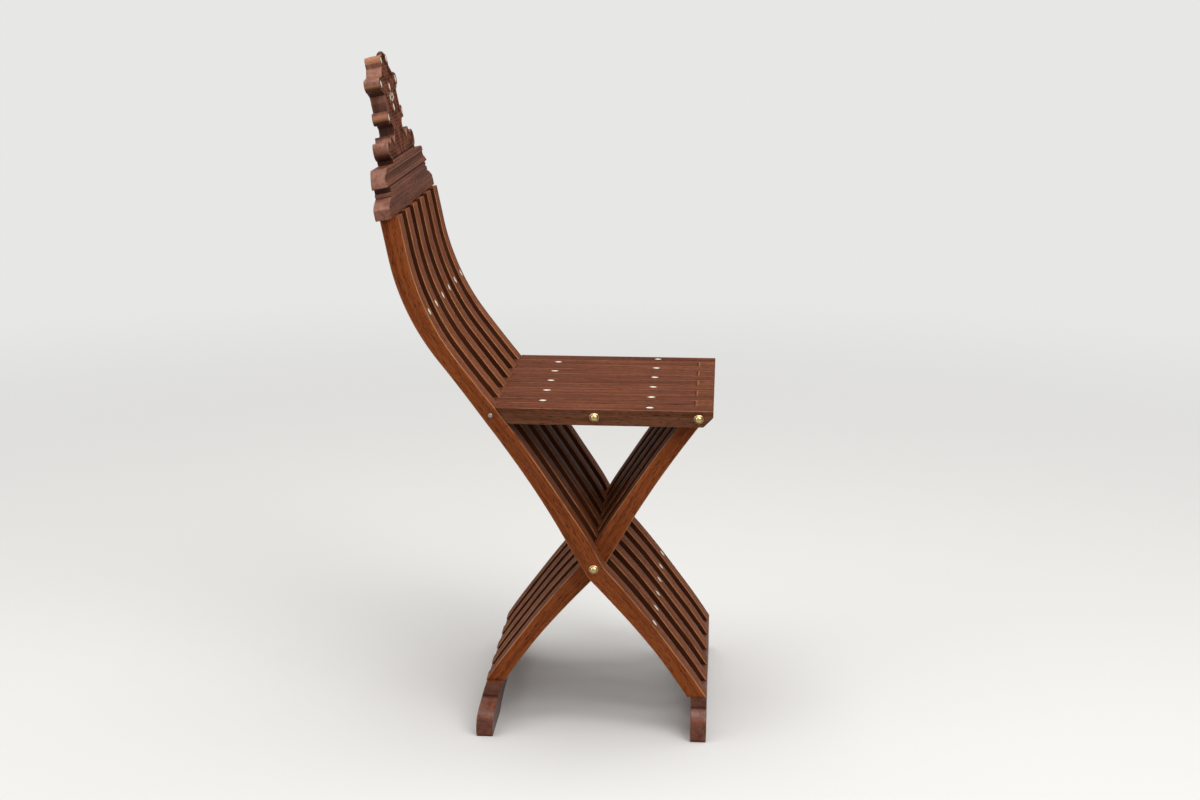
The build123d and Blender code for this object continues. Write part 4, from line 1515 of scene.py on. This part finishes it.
# Soft edges of the shaded hollows, the middle kept free of painted highlight, and the upper faces' painted
# highlight
HOLLOW_EDGE = 0.003
UNHIGHLIGHTED_MIDDLE = 0.012
UPPER_PAINTED_HIGHLIGHT = 0.25
# How far round an inlay's middle the face's outline is its pocket
POCKET_REACH = 0.0060
# The bead on top: above the first height, or above the second and before the face, and its stain
BEAD_HEIGHT = 0.1402
BEAD_FOOT = 0.125
BEAD_FORWARD = 0.0004
BEAD_STAIN = 0.9
# A leaf's bend, the number and depth of its lobes, the width of its edge and rib, how far its veins keep from
# the middle and the pitch of its veins
LEAF_BEND = 0.12
LEAF_LOBES = 3.5
LEAF_LOBE_DEPTH = 0.22
LEAF_EDGE = 0.0016
LEAF_RIB = 0.0010
RIB_CLEAR = 0.0012
VEIN_PITCH = 0.0052


def leaf_relief(across, up, root, tip, width):
    """Height of one veined leaf, from 0 outside it to 1, for arrays of places."""
    run = np.array(tip) - np.array(root)
    reach = np.linalg.norm(run)
    ahead = run / reach
    u = (across - root[0]) * ahead[0] + (up - root[1]) * ahead[1]
    v = (up - root[1]) * ahead[0] - (across - root[0]) * ahead[1]
    share_along = np.clip(u / reach, 0.0, 1.0)
    if root[0]:
        v = v - LEAF_BEND * reach * np.sin(np.pi * share_along)
    lobes = 1 + LEAF_LOBE_DEPTH * np.cos(share_along * 2 * np.pi * LEAF_LOBES)
    half = width * np.sin(np.pi * share_along**0.75) ** 0.8 * lobes
    aside = np.abs(v)
    inside = np.clip((half - aside) / LEAF_EDGE, 0.0, 1.0) * (u > 0) * (u < reach)
    swell = inside * (0.62 + 0.38 * np.clip(1 - aside / np.maximum(half, 1e-6), 0, 1))
    rib = np.exp(-((v / LEAF_RIB) ** 2))
    veins = 0.5 + 0.5 * np.cos((u - aside * 1.1) / VEIN_PITCH * 2 * np.pi)
    return np.clip(swell - inside * (0.55 * rib + 0.34 * veins * (aside > RIB_CLEAR)), 0, 1)


def punched_ground(across, up):
    """Depth of the ground round the leaves, with staggered rows of gouge cuts."""
    kept = settings("chair_carving")
    row = np.round(up / kept.cut_rise)
    along = across + np.where(row % 2 == 0, 0.0, kept.cut_pitch / 2)
    dx = along - np.round(along / kept.cut_pitch) * kept.cut_pitch
    dy = up - row * kept.cut_rise - kept.cut_rise * CUT_CURVE * (dx / kept.cut_pitch) ** 2
    away = np.hypot(dx / (kept.cut_pitch * CUT_SHARE), dy / (kept.cut_rise * CUT_SHARE))
    punch = np.clip(CUT_REACH - away, 0, 1)
    return kept.ground_depth * (1 + CUT_DEPTH * punch)


def crown_relief(across, up, from_edge, inlays):
    """Depth of the carving below the crown's face, for arrays of places."""
    kept = settings("chair_carving")
    side = np.abs(across)
    leaves = np.zeros_like(side)
    for root, tip, width in CROWN_LEAVES:
        leaves = np.maximum(leaves, leaf_relief(side, up, root, tip, width))
    depth = punched_ground(across, up) * (1 - leaves) + kept.ground_depth * LEAF_DEPTH * leaves
    rim = np.clip((from_edge - RIM) / SOFT_EDGE, 0.0, 1.0)
    groove = np.exp(-(((from_edge - RIM_LINE) / LINE_WIDTH) ** 2))
    depth = depth * rim + kept.line_depth * groove
    for place_across, place_up, radius in inlays:
        away = np.hypot(across - place_across, up - place_up)
        flat = np.clip((radius + SOFT_EDGE - away) / SOFT_EDGE, 0.0, 1.0)
        ring = np.exp(-(((away - radius - RING_GAP) / RING_WIDTH) ** 2))
        depth = np.maximum(depth * (1 - flat), kept.line_depth * RING_DEPTH * ring * (1 - flat))
    return depth


# Vertices of a CAD node that are this close are one
MERGED = 0.00002
# Distance between the points of the crown's outline
OUTLINE_STEP = 0.0008


def merged_copy(node):
    """A bmesh of a CAD node with its doubles merged."""
    bm = bmesh.new()
    bm.from_mesh(frame["nodes"][node].data)
    bmesh.ops.remove_doubles(bm, verts=bm.verts, dist=MERGED)
    return bm


def front_outline(bm):
    """Points along the outline of the front face, which lies at no depth."""
    points = []
    for edge in bm.edges:
        on_face = [face for face in edge.link_faces if face.normal.x > 0.95]
        if len(on_face) == 1 and all(abs(v.co.x) < 0.0004 for v in edge.verts):
            a, b = (v.co for v in edge.verts)
            count = max(1, round((b - a).length / OUTLINE_STEP))
            points += [a.lerp(b, n / count) for n in range(count)]
    return points


def remeshed(name, bm, material, grid):
    """An even fine grid over a solid."""
    made = object_from(name, bm, material)
    step = made.modifiers.new("grid", "REMESH")
    step.mode = "VOXEL"
    step.voxel_size = grid
    step.use_smooth_shade = True
    old = made.data
    made.data = plain_mesh(made)
    bpy.data.meshes.remove(old)
    made.data.materials.clear()
    made.data.materials.append(material)
    return made


class CHAIR_OT_crown(bpy.types.Operator):
    """Carve the crown of the crest"""

    bl_idname = "chair.crown"
    bl_label = "Crown"

    def execute(self, context):
        kept = settings("chair_carving")
        matrix = crest_matrix()
        inverse = matrix.inverted()
        foot = kept.rail_height + kept.upper_rail_height + 2 * kept.joint_gap
        inlays = [
            (middle.y, middle.z - foot, radius)
            for node, radius in CROWN_INLAYS
            for middle in (inverse @ island.middle for island in islands_of(node))
        ]
        bm = merged_copy("crest_crown")
        bm.transform(inverse)
        bmesh.ops.recalc_face_normals(bm, faces=bm.faces)
        edge = self.edge_tree(bm, foot, inlays)
        self.top(bm)
        made = remeshed("carved_crown", bm, finish("carved_wood"), kept.grid)
        places, normals = mesh_arrays(made.data)
        ground = self.carve(places, normals, edge, foot, inlays)
        made.data.vertices.foreach_set("co", places.ravel())
        ends, dark, painted_highlight = self.polish(places, normals, foot)
        grain = places[:, ::-1] + (3.0, 5.0, 2.0)
        made.data.transform(matrix)
        made.data.update()
        smoothed(made.data)
        # The wear attribute also carries the painted highlight, and the stain attribute the painted shade
        wear = np.maximum(worn_edges(made.data, kept.grid) * 0.7, painted_highlight)
        set_attributes(made.data, grain=grain, wear=wear, stain=np.maximum(ground, dark), face=ends)
        dressed(made, "crest_crown")
        return {"FINISHED"}

    def edge_tree(self, bm, foot, inlays):
        """A search tree of the front face's outline, without the inlays' pockets."""
        outline = [
            point
            for point in front_outline(bm)
            if all(math.hypot(point.y - y, point.z - foot - z) > POCKET_REACH for y, z, _ in inlays)
        ]
        if not outline:
            raise RuntimeError("the crown's front face wasn't found")
        tree = kdtree.KDTree(len(outline))
        for n, point in enumerate(outline):
            tree.insert((0.0, point.y, point.z), n)
        tree.balance()
        return tree

    def top(self, bm):
        """Lowers the top between its two lobes and sets a small bead there."""
        kept = settings("chair_carving")
        full = max(vert.co.z for vert in bm.verts)
        for vert in bm.verts:
            vert.co.z = min(vert.co.z, full - kept.bead_height)
        half = kept.bead_height * 1.15
        middle = Matrix.Translation((-half * 0.45, 0.0, full - half))
        sizes = Matrix.Diagonal((half, kept.bead_half_width, half, 1.0))
        bmesh.ops.create_uvsphere(bm, u_segments=32, v_segments=16, radius=1.0, matrix=middle @ sizes)

    def carve(self, places, normals, edge, foot, inlays):
        """Pushes the front in by the depth of the relief, adds tool marks, and returns how dark each place is."""
        kept = settings("chair_carving")
        front = (normals[:, 0] > FRONT_FACING) & (places[:, 0] > -FRONT_REACH)
        spots = places[front]
        from_edge = np.array([edge.find((0.0, y, z))[2] for _, y, z in spots])
        relief = crown_relief(spots[:, 1], spots[:, 2] - foot, from_edge, inlays)
        places[front, 0] = np.minimum(spots[:, 0], np.maximum(spots[:, 0] - relief, -CARVING_FLOOR))
        depth, side, up = places[:, 0], np.abs(places[:, 1]), places[:, 2] - foot
        stain = np.zeros(len(places))
        # The carved ground is darker the deeper it lies: dark polish in the ground, partly painted shade
        stain[front] = np.clip((relief / kept.ground_depth - 0.5) / 0.9, 0.0, 1.0)
        # Painted shade on the side faces at the ends of the foot
        stain[(up < FOOT_HEIGHT) & (side > FOOT_START) & (np.abs(normals[:, 1]) > 0.6)] = 1.0
        stain[(up > BEAD_HEIGHT) | ((depth > BEAD_FORWARD) & (up > BEAD_FOOT))] = BEAD_STAIN
        tools = np.array([noise.noise(Vector((x * 60, y * 45, z * 160))) for x, y, z in places])
        places += normals * (np.minimum(tools, 0.0) * kept.tool_marks)[:, None]
        return stain

    def polish(self, places, normals, foot):
        """Where the crown shows its ends, where it gets painted shade and where it gets a painted highlight."""
        side, up = np.abs(places[:, 1]), places[:, 2] - foot
        ends = np.clip((np.hypot(normals[:, 1], normals[:, 2]) - 0.75) / 0.15, 0.0, 1.0)
        # Painted shade on the faces that turn downwards
        dark = np.clip(0.05 - 1.7 * normals[:, 2], 0.0, 0.95)
        # Painted shade in the hollows between the lobes
        for low, high, most in CROWN_HOLLOWS:
            inside = np.clip((up - low) / HOLLOW_EDGE, 0, 1) * np.clip((high - up) / HOLLOW_EDGE, 0, 1)
            dark = np.maximum(dark, most * inside)
        # Painted highlight on the upper faces, away from the middle
        painted_highlight = np.clip((normals[:, 2] - 0.35) / 0.4, 0.0, 1.0) * (side > UNHIGHLIGHTED_MIDDLE) * UPPER_PAINTED_HIGHLIGHT
        # Painted highlight bands along the lobes' outer curves
        for middle in CROWN_LOBES:
            near = np.clip(1 - np.abs(up - middle) / LOBE_REACH, 0.0, 1.0)
            painted_highlight = np.maximum(painted_highlight, LOBE_PAINTED_HIGHLIGHT * np.sqrt(near))
        return ends, dark * ends, painted_highlight * ends


# ---------------------------------------------------------------- inlays and knobs


class Island:
    """One separate solid of a CAD node, with its middle, its long way and its way out of the wood."""

    def __init__(self, points, outward):
        spots = np.array([tuple(point) for point in points])
        spread = spots - spots.mean(axis=0)
        _, ways = np.linalg.eigh(spread.T @ spread)
        self.out = Vector(ways[:, 0])
        if self.out.dot(outward) < 0:
            self.out = -self.out
        apart = np.linalg.norm(spots[:, None] - spots[None], axis=2)
        first, last = np.unravel_index(apart.argmax(), apart.shape)
        self.middle = Vector((spots[first] + spots[last]) / 2)
        run = Vector(spots[last] - spots[first])
        self.along = (run - self.out * run.dot(self.out)).normalized()
        heights = (spots - np.array(self.middle)) @ np.array(self.out)
        self.top = self.middle + self.out * float(heights.max())

    def turn(self):
        """Turn whose X runs along the solid and whose Z points out of the wood."""
        side = self.out.cross(self.along)
        return Matrix((self.along, side, self.out)).transposed().to_euler()


def islands_of(node, outward=Vector((1.0, 0.0, 1.0))):
    """The separate solids of a CAD node."""
    bm = merged_copy(node)
    left = dict.fromkeys(bm.verts)
    found = []
    while left:
        stack = [left.popitem()[0]]
        points = []
        while stack:
            vert = stack.pop()
            points.append(vert.co.copy())
            for edge in vert.link_edges:
                other = edge.other_vert(vert)
                if other in left:
                    del left[other]
                    stack.append(other)
        found.append(Island(points, outward))
    bm.free()
    return sorted(found, key=lambda island: tuple(island.middle.yzx))


class PieceTree(NodeTree):
    """A Geometry Nodes tree with named inputs that puts a piece on every point."""

    def __init__(self, name, inputs):
        super().__init__(bpy.data.node_groups.new(name, "GeometryNodeTree"))
        sockets = self.tree.interface
        sockets.new_socket("Geometry", in_out="INPUT", socket_type="NodeSocketGeometry")
        for title, value in inputs.items():
            added = sockets.new_socket(title, in_out="INPUT", socket_type="NodeSocketFloat")
            added.default_value = value
        sockets.new_socket("Geometry", in_out="OUTPUT", socket_type="NodeSocketGeometry")

    def given(self, title):
        """An input of the tree."""
        return self.node("NodeGroupInput", {}, output=title)

    def ball(self, segments, rings):
        """A ball of radius 1, and the parts of its places."""
        made = self.node("GeometryNodeMeshUVSphere", {}, segments, rings, 1.0)
        return made, self.node("GeometryNodeInputPosition", {}).parts()

    def moved(self, geometry, *place):
        """A geometry with every vertex at a new place."""
        spot = self.node("ShaderNodeCombineXYZ", {}, *place)
        return self.node("GeometryNodeSetPosition", {}, Geometry=geometry, Position=spot)

    def painted(self, geometry, name):
        """A geometry in one of the finishes."""
        return self.node("GeometryNodeSetMaterial", {}, Geometry=geometry, Material=finish(name))

    def on_points(self, piece, seed):
        """The piece on every point, turned as the point's turn says and a little uneven."""
        vectors = {"data_type": "FLOAT_VECTOR"}
        turn = self.node("GeometryNodeInputNamedAttribute", vectors, Name="turn")
        placed = self.node(
            "GeometryNodeInstanceOnPoints",
            {},
            Points=self.given("Geometry"),
            Instance=piece,
            Rotation=self.node("FunctionNodeEulerToRotation", {}, turn),
            Scale=self.node("FunctionNodeRandomValue", vectors, SMALLEST, LARGEST, Seed=seed),
        )
        return self.node("GeometryNodeRealizeInstances", {}, placed)

    def finish(self, geometry):
        """Ends the tree and returns it."""
        self.node("NodeGroupOutput", {}, geometry)
        return self.tree


# Depth of the plugs and their glue in the wood
PLUG_DEPTH = 0.0009
GLUE_DEPTH = 0.0007
# Roundness of their top edges
PLUG_EDGE = 0.22
GLUE_EDGE = 0.3
# Share of a knob's height that is flange, and width of the knob above it as a share of the flange's
FLANGE_SHARE = 0.16
KNOB_SHARE = 0.90
# Shares of its size between which each piece varies
SMALLEST = (0.95, 0.95, 1.0)
LARGEST = (1.04, 1.04, 1.0)


def lens_body(tree, length, width, above, below, finish_name, edge):
    """A pointed oval plug made from a ball, its top nearly flat; the smaller its edge, the flatter."""
    ball, (x, y, z) = tree.ball(44, 22)
    flat = abs(z) ** edge
    upper = z.over(0.0)
    level = flat * above * upper + flat * -below * (1.0 - upper)
    shaped = tree.moved(ball, x * (length * 0.5), y * abs(y) * (width * 0.5), level)
    return tree.painted(shaped, finish_name)


def inlay_tree():
    """Bone plugs in a thin line of old glue, one on every point."""
    kept = settings("chair_inlays")
    inputs = {"Length": kept.inlay_length, "Width": kept.inlay_width, "Height": kept.inlay_proud}
    tree = PieceTree("bone_inlay", inputs)
    length, width, height = (tree.given(title) for title in inputs)
    glue_length, glue_width = length + kept.glue_line * 3, width + kept.glue_line * 2
    both = tree.node("GeometryNodeJoinGeometry", {})
    for part in (
        lens_body(tree, length, width, height, PLUG_DEPTH, "bone", PLUG_EDGE),
        lens_body(tree, glue_length, glue_width, kept.glue_proud, GLUE_DEPTH, "glue", GLUE_EDGE),
    ):
        tree.plug(both.socket.node.inputs[0], part)
    return tree.finish(tree.on_points(both, 5))


def knob_tree():
    """Turned brass knobs with a thin flange, one on every point."""
    kept = settings("chair_inlays")
    tree = PieceTree("brass_knob", {"Radius": kept.knob_radius, "Height": kept.knob_height})
    ball, (x, y, z) = tree.ball(48, 40)
    flange = z.under(FLANGE_SHARE)
    spread = tree.given("Radius") * (KNOB_SHARE + flange * (1 - KNOB_SHARE))
    shaped = tree.moved(ball, x * spread, y * spread, z * z.over(0.0) * tree.given("Height"))
    return tree.finish(tree.painted(tree.on_points(shaped, 9), "brass"))


def set_inputs(modifier, tree, values):
    """Sets a modifier's inputs by their sockets' identifiers."""
    for item in tree.interface.items_tree:
        if item.item_type == "SOCKET" and item.in_out == "INPUT" and item.name in values:
            modifier[item.identifier] = values[item.name]


def grown(name, node, spots, tree, values):
    """Runs a tree on points and keeps its result as one finished mesh."""
    mesh = bpy.data.meshes.new(name)
    mesh.from_pydata([tuple(place) for place, _ in spots], [], [])
    set_attributes(mesh, turn=[tuple(turn) for _, turn in spots])
    points = linked(name + "_points", mesh)
    modifier = points.modifiers.new("pieces", "NODES")
    modifier.node_group = tree
    set_inputs(modifier, tree, values)
    made = plain_mesh(points)
    bpy.data.objects.remove(points)
    if not made.polygons:
        raise RuntimeError(f"{name} came out empty")
    smoothed(made, 45)
    dressed(linked(name, made), node)


class CHAIR_OT_inlays(bpy.types.Operator):
    """Let the bone inlays into the seat, the slats and the crest"""

    bl_idname = "chair.inlays"
    bl_label = "Bone inlays"

    def execute(self, context):
        kept = settings("chair_inlays")
        tree = inlay_tree()
        for node in ("back_inlays", "leg_inlays", "front_seat_inlays", "rear_seat_inlays", "crest_inlays"):
            self.plugs(node, tree, kept.inlay_length, kept.inlay_width)
        self.plugs("crest_flower_inlay", tree, kept.petal_length, kept.petal_width, kept.petal_closeness)
        return {"FINISHED"}

    def plugs(self, node, tree, size_along, size_across, closeness=1.0):
        """The plugs of one node, drawn towards their middle where closeness is under 1."""
        kept = settings("chair_inlays")
        outward = Vector((0.0, 0.0, 1.0)) if "seat" in node else Vector((1.0, 0.0, 0.3))
        islands = islands_of(node, outward)
        middle = sum((island.top for island in islands), Vector()) / len(islands)
        spots = []
        for island in islands:
            place = middle.lerp(island.top, closeness) - island.out * kept.cad_proud
            spots.append((place, island.turn()))
        values = {"Length": size_along, "Width": size_across, "Height": kept.inlay_proud}
        grown(node.replace("inlays", "bone").replace("inlay", "bone"), node, spots, tree, values)


class CHAIR_OT_knobs(bpy.types.Operator):
    """Cap the rods with brass knobs"""

    bl_idname = "chair.knobs"
    bl_label = "Brass knobs"

    def execute(self, context):
        kept = settings("chair_inlays")
        tree = knob_tree()
        values = {"Radius": kept.knob_radius, "Height": kept.knob_height}
        for node in ("fold_axle_knobs", "front_seat_rod_knobs", "middle_seat_knobs"):
            low, high = corners(node)
            x, z = (low.x + high.x) / 2, (low.z + high.z) / 2
            spots = [
                (Vector((x, side * PACK_HALF_WIDTH, z)), (-side * math.pi / 2, 0.0, 0.0)) for side in (-1, 1)
            ]
            grown(node.replace("knobs", "brass_knobs"), node, spots, tree, values)
        return {"FINISHED"}


# Nodes of plain steel
STEEL_NODES = ("fold_axle", "front_seat_rod", "middle_seat_pins", "rear_seat_rod", "rear_seat_rod_screws")


class CHAIR_OT_metal(bpy.types.Operator):
    """Give the rods, screws and dowels their finishes"""

    bl_idname = "chair.metal"
    bl_label = "Rods and dowels"

    def execute(self, context):
        for node in STEEL_NODES:
            self.paint(node, finish("steel"))
        self.paint("crest_dowels", finish("carved_wood"))
        return {"FINISHED"}

    def paint(self, node, material):
        """Puts a finish on a CAD node."""
        for entry in frame["nodes"][node].material_slots:
            entry.link = "OBJECT"
            entry.material = material


# ---------------------------------------------------------------- stage

FLOOR_HALF_SIZE = 14.0
# Distances from the middle between which the floor fades into the backdrop
FADE = (0.7, 3.4)
# Colour of the sky's light, and the rise above which it is at its strongest
SKY_COLOUR = (1.0, 0.985, 0.96)
FULL_SKY_RISE = 0.85


class CHAIR_OT_stage(bpy.types.Operator):
    """Set the floor, the light and the camera"""

    bl_idname = "chair.stage"
    bl_label = "Stage"

    def execute(self, context):
        kept = settings("chair_stage")
        scene = context.scene
        scene.view_settings.view_transform = "Standard"
        self.floor(kept)
        self.world(scene, kept)
        self.lamp("key_light", (1.6, -1.9, 2.6), (0.1, 0.0, 0.4), 2.0, kept.key_power)
        self.lamp("top_light", (0.1, 0.1, 3.3), (0.1, 0.0, 0.4), 2.6, kept.top_power)
        self.lamp("fill_light", (-2.2, -1.2, 1.6), (0.0, 0.0, 0.4), 1.8, kept.key_power * 0.3)
        self.camera(scene, kept)
        return {"FINISHED"}

    def floor(self, kept):
        """A wide pale floor that fades into the backdrop far from the chair."""
        bm = bmesh.new()
        bmesh.ops.create_grid(bm, x_segments=8, y_segments=8, size=FLOOR_HALF_SIZE)
        s = Finish("pale_floor")
        place = s.place()
        pale = s.mix(s.noise(place, scale=1.3) * 0.25, kept.floor_tone, shade(kept.floor_tone, 0.95))
        body = s.mix(s.seen(kept.mirrored_backdrop), kept.floor_bounce, pale)
        floor = s.surface(Base_Color=body, Roughness=0.9, Specular_IOR_Level=0.1)
        away = s.node("ShaderNodeVectorMath", {"operation": "LENGTH"}, place, output="Value")
        straight = s.node("ShaderNodeLightPath", {}, output="Is Camera Ray")
        far = s.node("ShaderNodeEmission", {}, kept.backdrop, 1.0)
        both = s.node("ShaderNodeMixShader", {}, away.step(*FADE) * straight, floor, far)
        object_from("floor", bm, s.finish(both))

    def world(self, scene, kept):
        """Even light from all round, and a pale backdrop where the camera or a shiny part looks."""
        world = bpy.data.worlds.new("soft_sky")
        world.use_nodes = True
        scene.world = world
        s = Shader(world.node_tree)
        _, _, rise = s.node("ShaderNodeTexCoord", {}, output="Generated").parts()
        level = s.node("ShaderNodeMapRange", {}, rise, 0.0, FULL_SKY_RISE, kept.horizon, kept.sky)
        sky = s.node("ShaderNodeBackground", {}, SKY_COLOUR, level)
        backdrop = s.node("ShaderNodeBackground", {}, kept.backdrop, 1.0)
        both = s.node("ShaderNodeMixShader", {}, s.seen(kept.mirrored_backdrop), sky, backdrop)
        s.node("ShaderNodeOutputWorld", {}, both)

    def lamp(self, name, place, target, size, power):
        """A square soft light aimed at a point."""
        light = bpy.data.lights.new(name, "AREA")
        light.shape = "SQUARE"
        light.size = size
        light.energy = power
        aim = (Vector(target) - Vector(place)).to_track_quat("-Z", "Y")
        linked(name, light).matrix_world = Matrix.Translation(place) @ aim.to_matrix().to_4x4()

    def camera(self, scene, kept):
        """The camera at the viewing angle."""
        data = bpy.data.cameras.new("camera")
        data.sensor_fit = "HORIZONTAL"
        data.sensor_width = 36.0
        data.lens = kept.focal_length
        data.clip_end = 100.0
        down, turn, roll = kept.camera_down, kept.camera_turn, kept.camera_roll
        forward = Vector((-math.sin(turn) * math.cos(down), math.cos(turn) * math.cos(down), -math.sin(down)))
        right = Vector((math.cos(turn), math.sin(turn), 0.0))
        up = right.cross(forward)
        across = right * math.cos(roll) + up * math.sin(roll)
        upward = up * math.cos(roll) - right * math.sin(roll)
        axes = Matrix((across, upward, -forward)).transposed().to_4x4()
        scene.camera = linked("camera", data)
        scene.camera.matrix_world = Matrix.Translation(kept.camera_place) @ axes


# ---------------------------------------------------------------- panel and run

OPERATORS = (
    CHAIR_OT_long_slats,
    CHAIR_OT_short_slats,
    CHAIR_OT_front_seat,
    CHAIR_OT_rear_seat,
    CHAIR_OT_feet,
    CHAIR_OT_rails,
    CHAIR_OT_crown,
    CHAIR_OT_inlays,
    CHAIR_OT_knobs,
    CHAIR_OT_metal,
    CHAIR_OT_stage,
)


class CHAIR_PT_pieces(bpy.types.Panel):
    """The chair's pieces and sizes"""

    bl_idname = "CHAIR_PT_pieces"
    bl_label = "Folding slat chair"
    bl_space_type = "VIEW_3D"
    bl_region_type = "UI"
    bl_category = "Folding chair"

    def draw(self, context):
        for operator in OPERATORS:
            self.layout.operator(operator.bl_idname)
        for name, kind in SETTINGS.items():
            box = self.layout.box()
            box.label(text=kind.__doc__)
            for key in kind.__annotations__:
                box.prop(getattr(context.scene, name), key)


def register():
    """Registers the settings, the operators and the panel."""
    for name, kind in SETTINGS.items():
        bpy.utils.register_class(kind)
        setattr(bpy.types.Scene, name, PointerProperty(type=kind))
    for kind in (*OPERATORS, CHAIR_PT_pieces):
        bpy.utils.register_class(kind)


def unregister():
    """Removes what register added."""
    for kind in reversed((*OPERATORS, CHAIR_PT_pieces)):
        bpy.utils.unregister_class(kind)
    for name, kind in SETTINGS.items():
        delattr(bpy.types.Scene, name)
        bpy.utils.unregister_class(kind)


def main():
    """Makes the whole scene."""
    register()
    bpy.ops.chair.long_slats()
    bpy.ops.chair.short_slats()
    bpy.ops.chair.front_seat()
    bpy.ops.chair.rear_seat()
    bpy.ops.chair.feet()
    bpy.ops.chair.rails()
    bpy.ops.chair.crown()
    bpy.ops.chair.inlays()
    bpy.ops.chair.knobs()
    bpy.ops.chair.metal()
    bpy.ops.chair.stage()


if __name__ == "__main__":
    main()
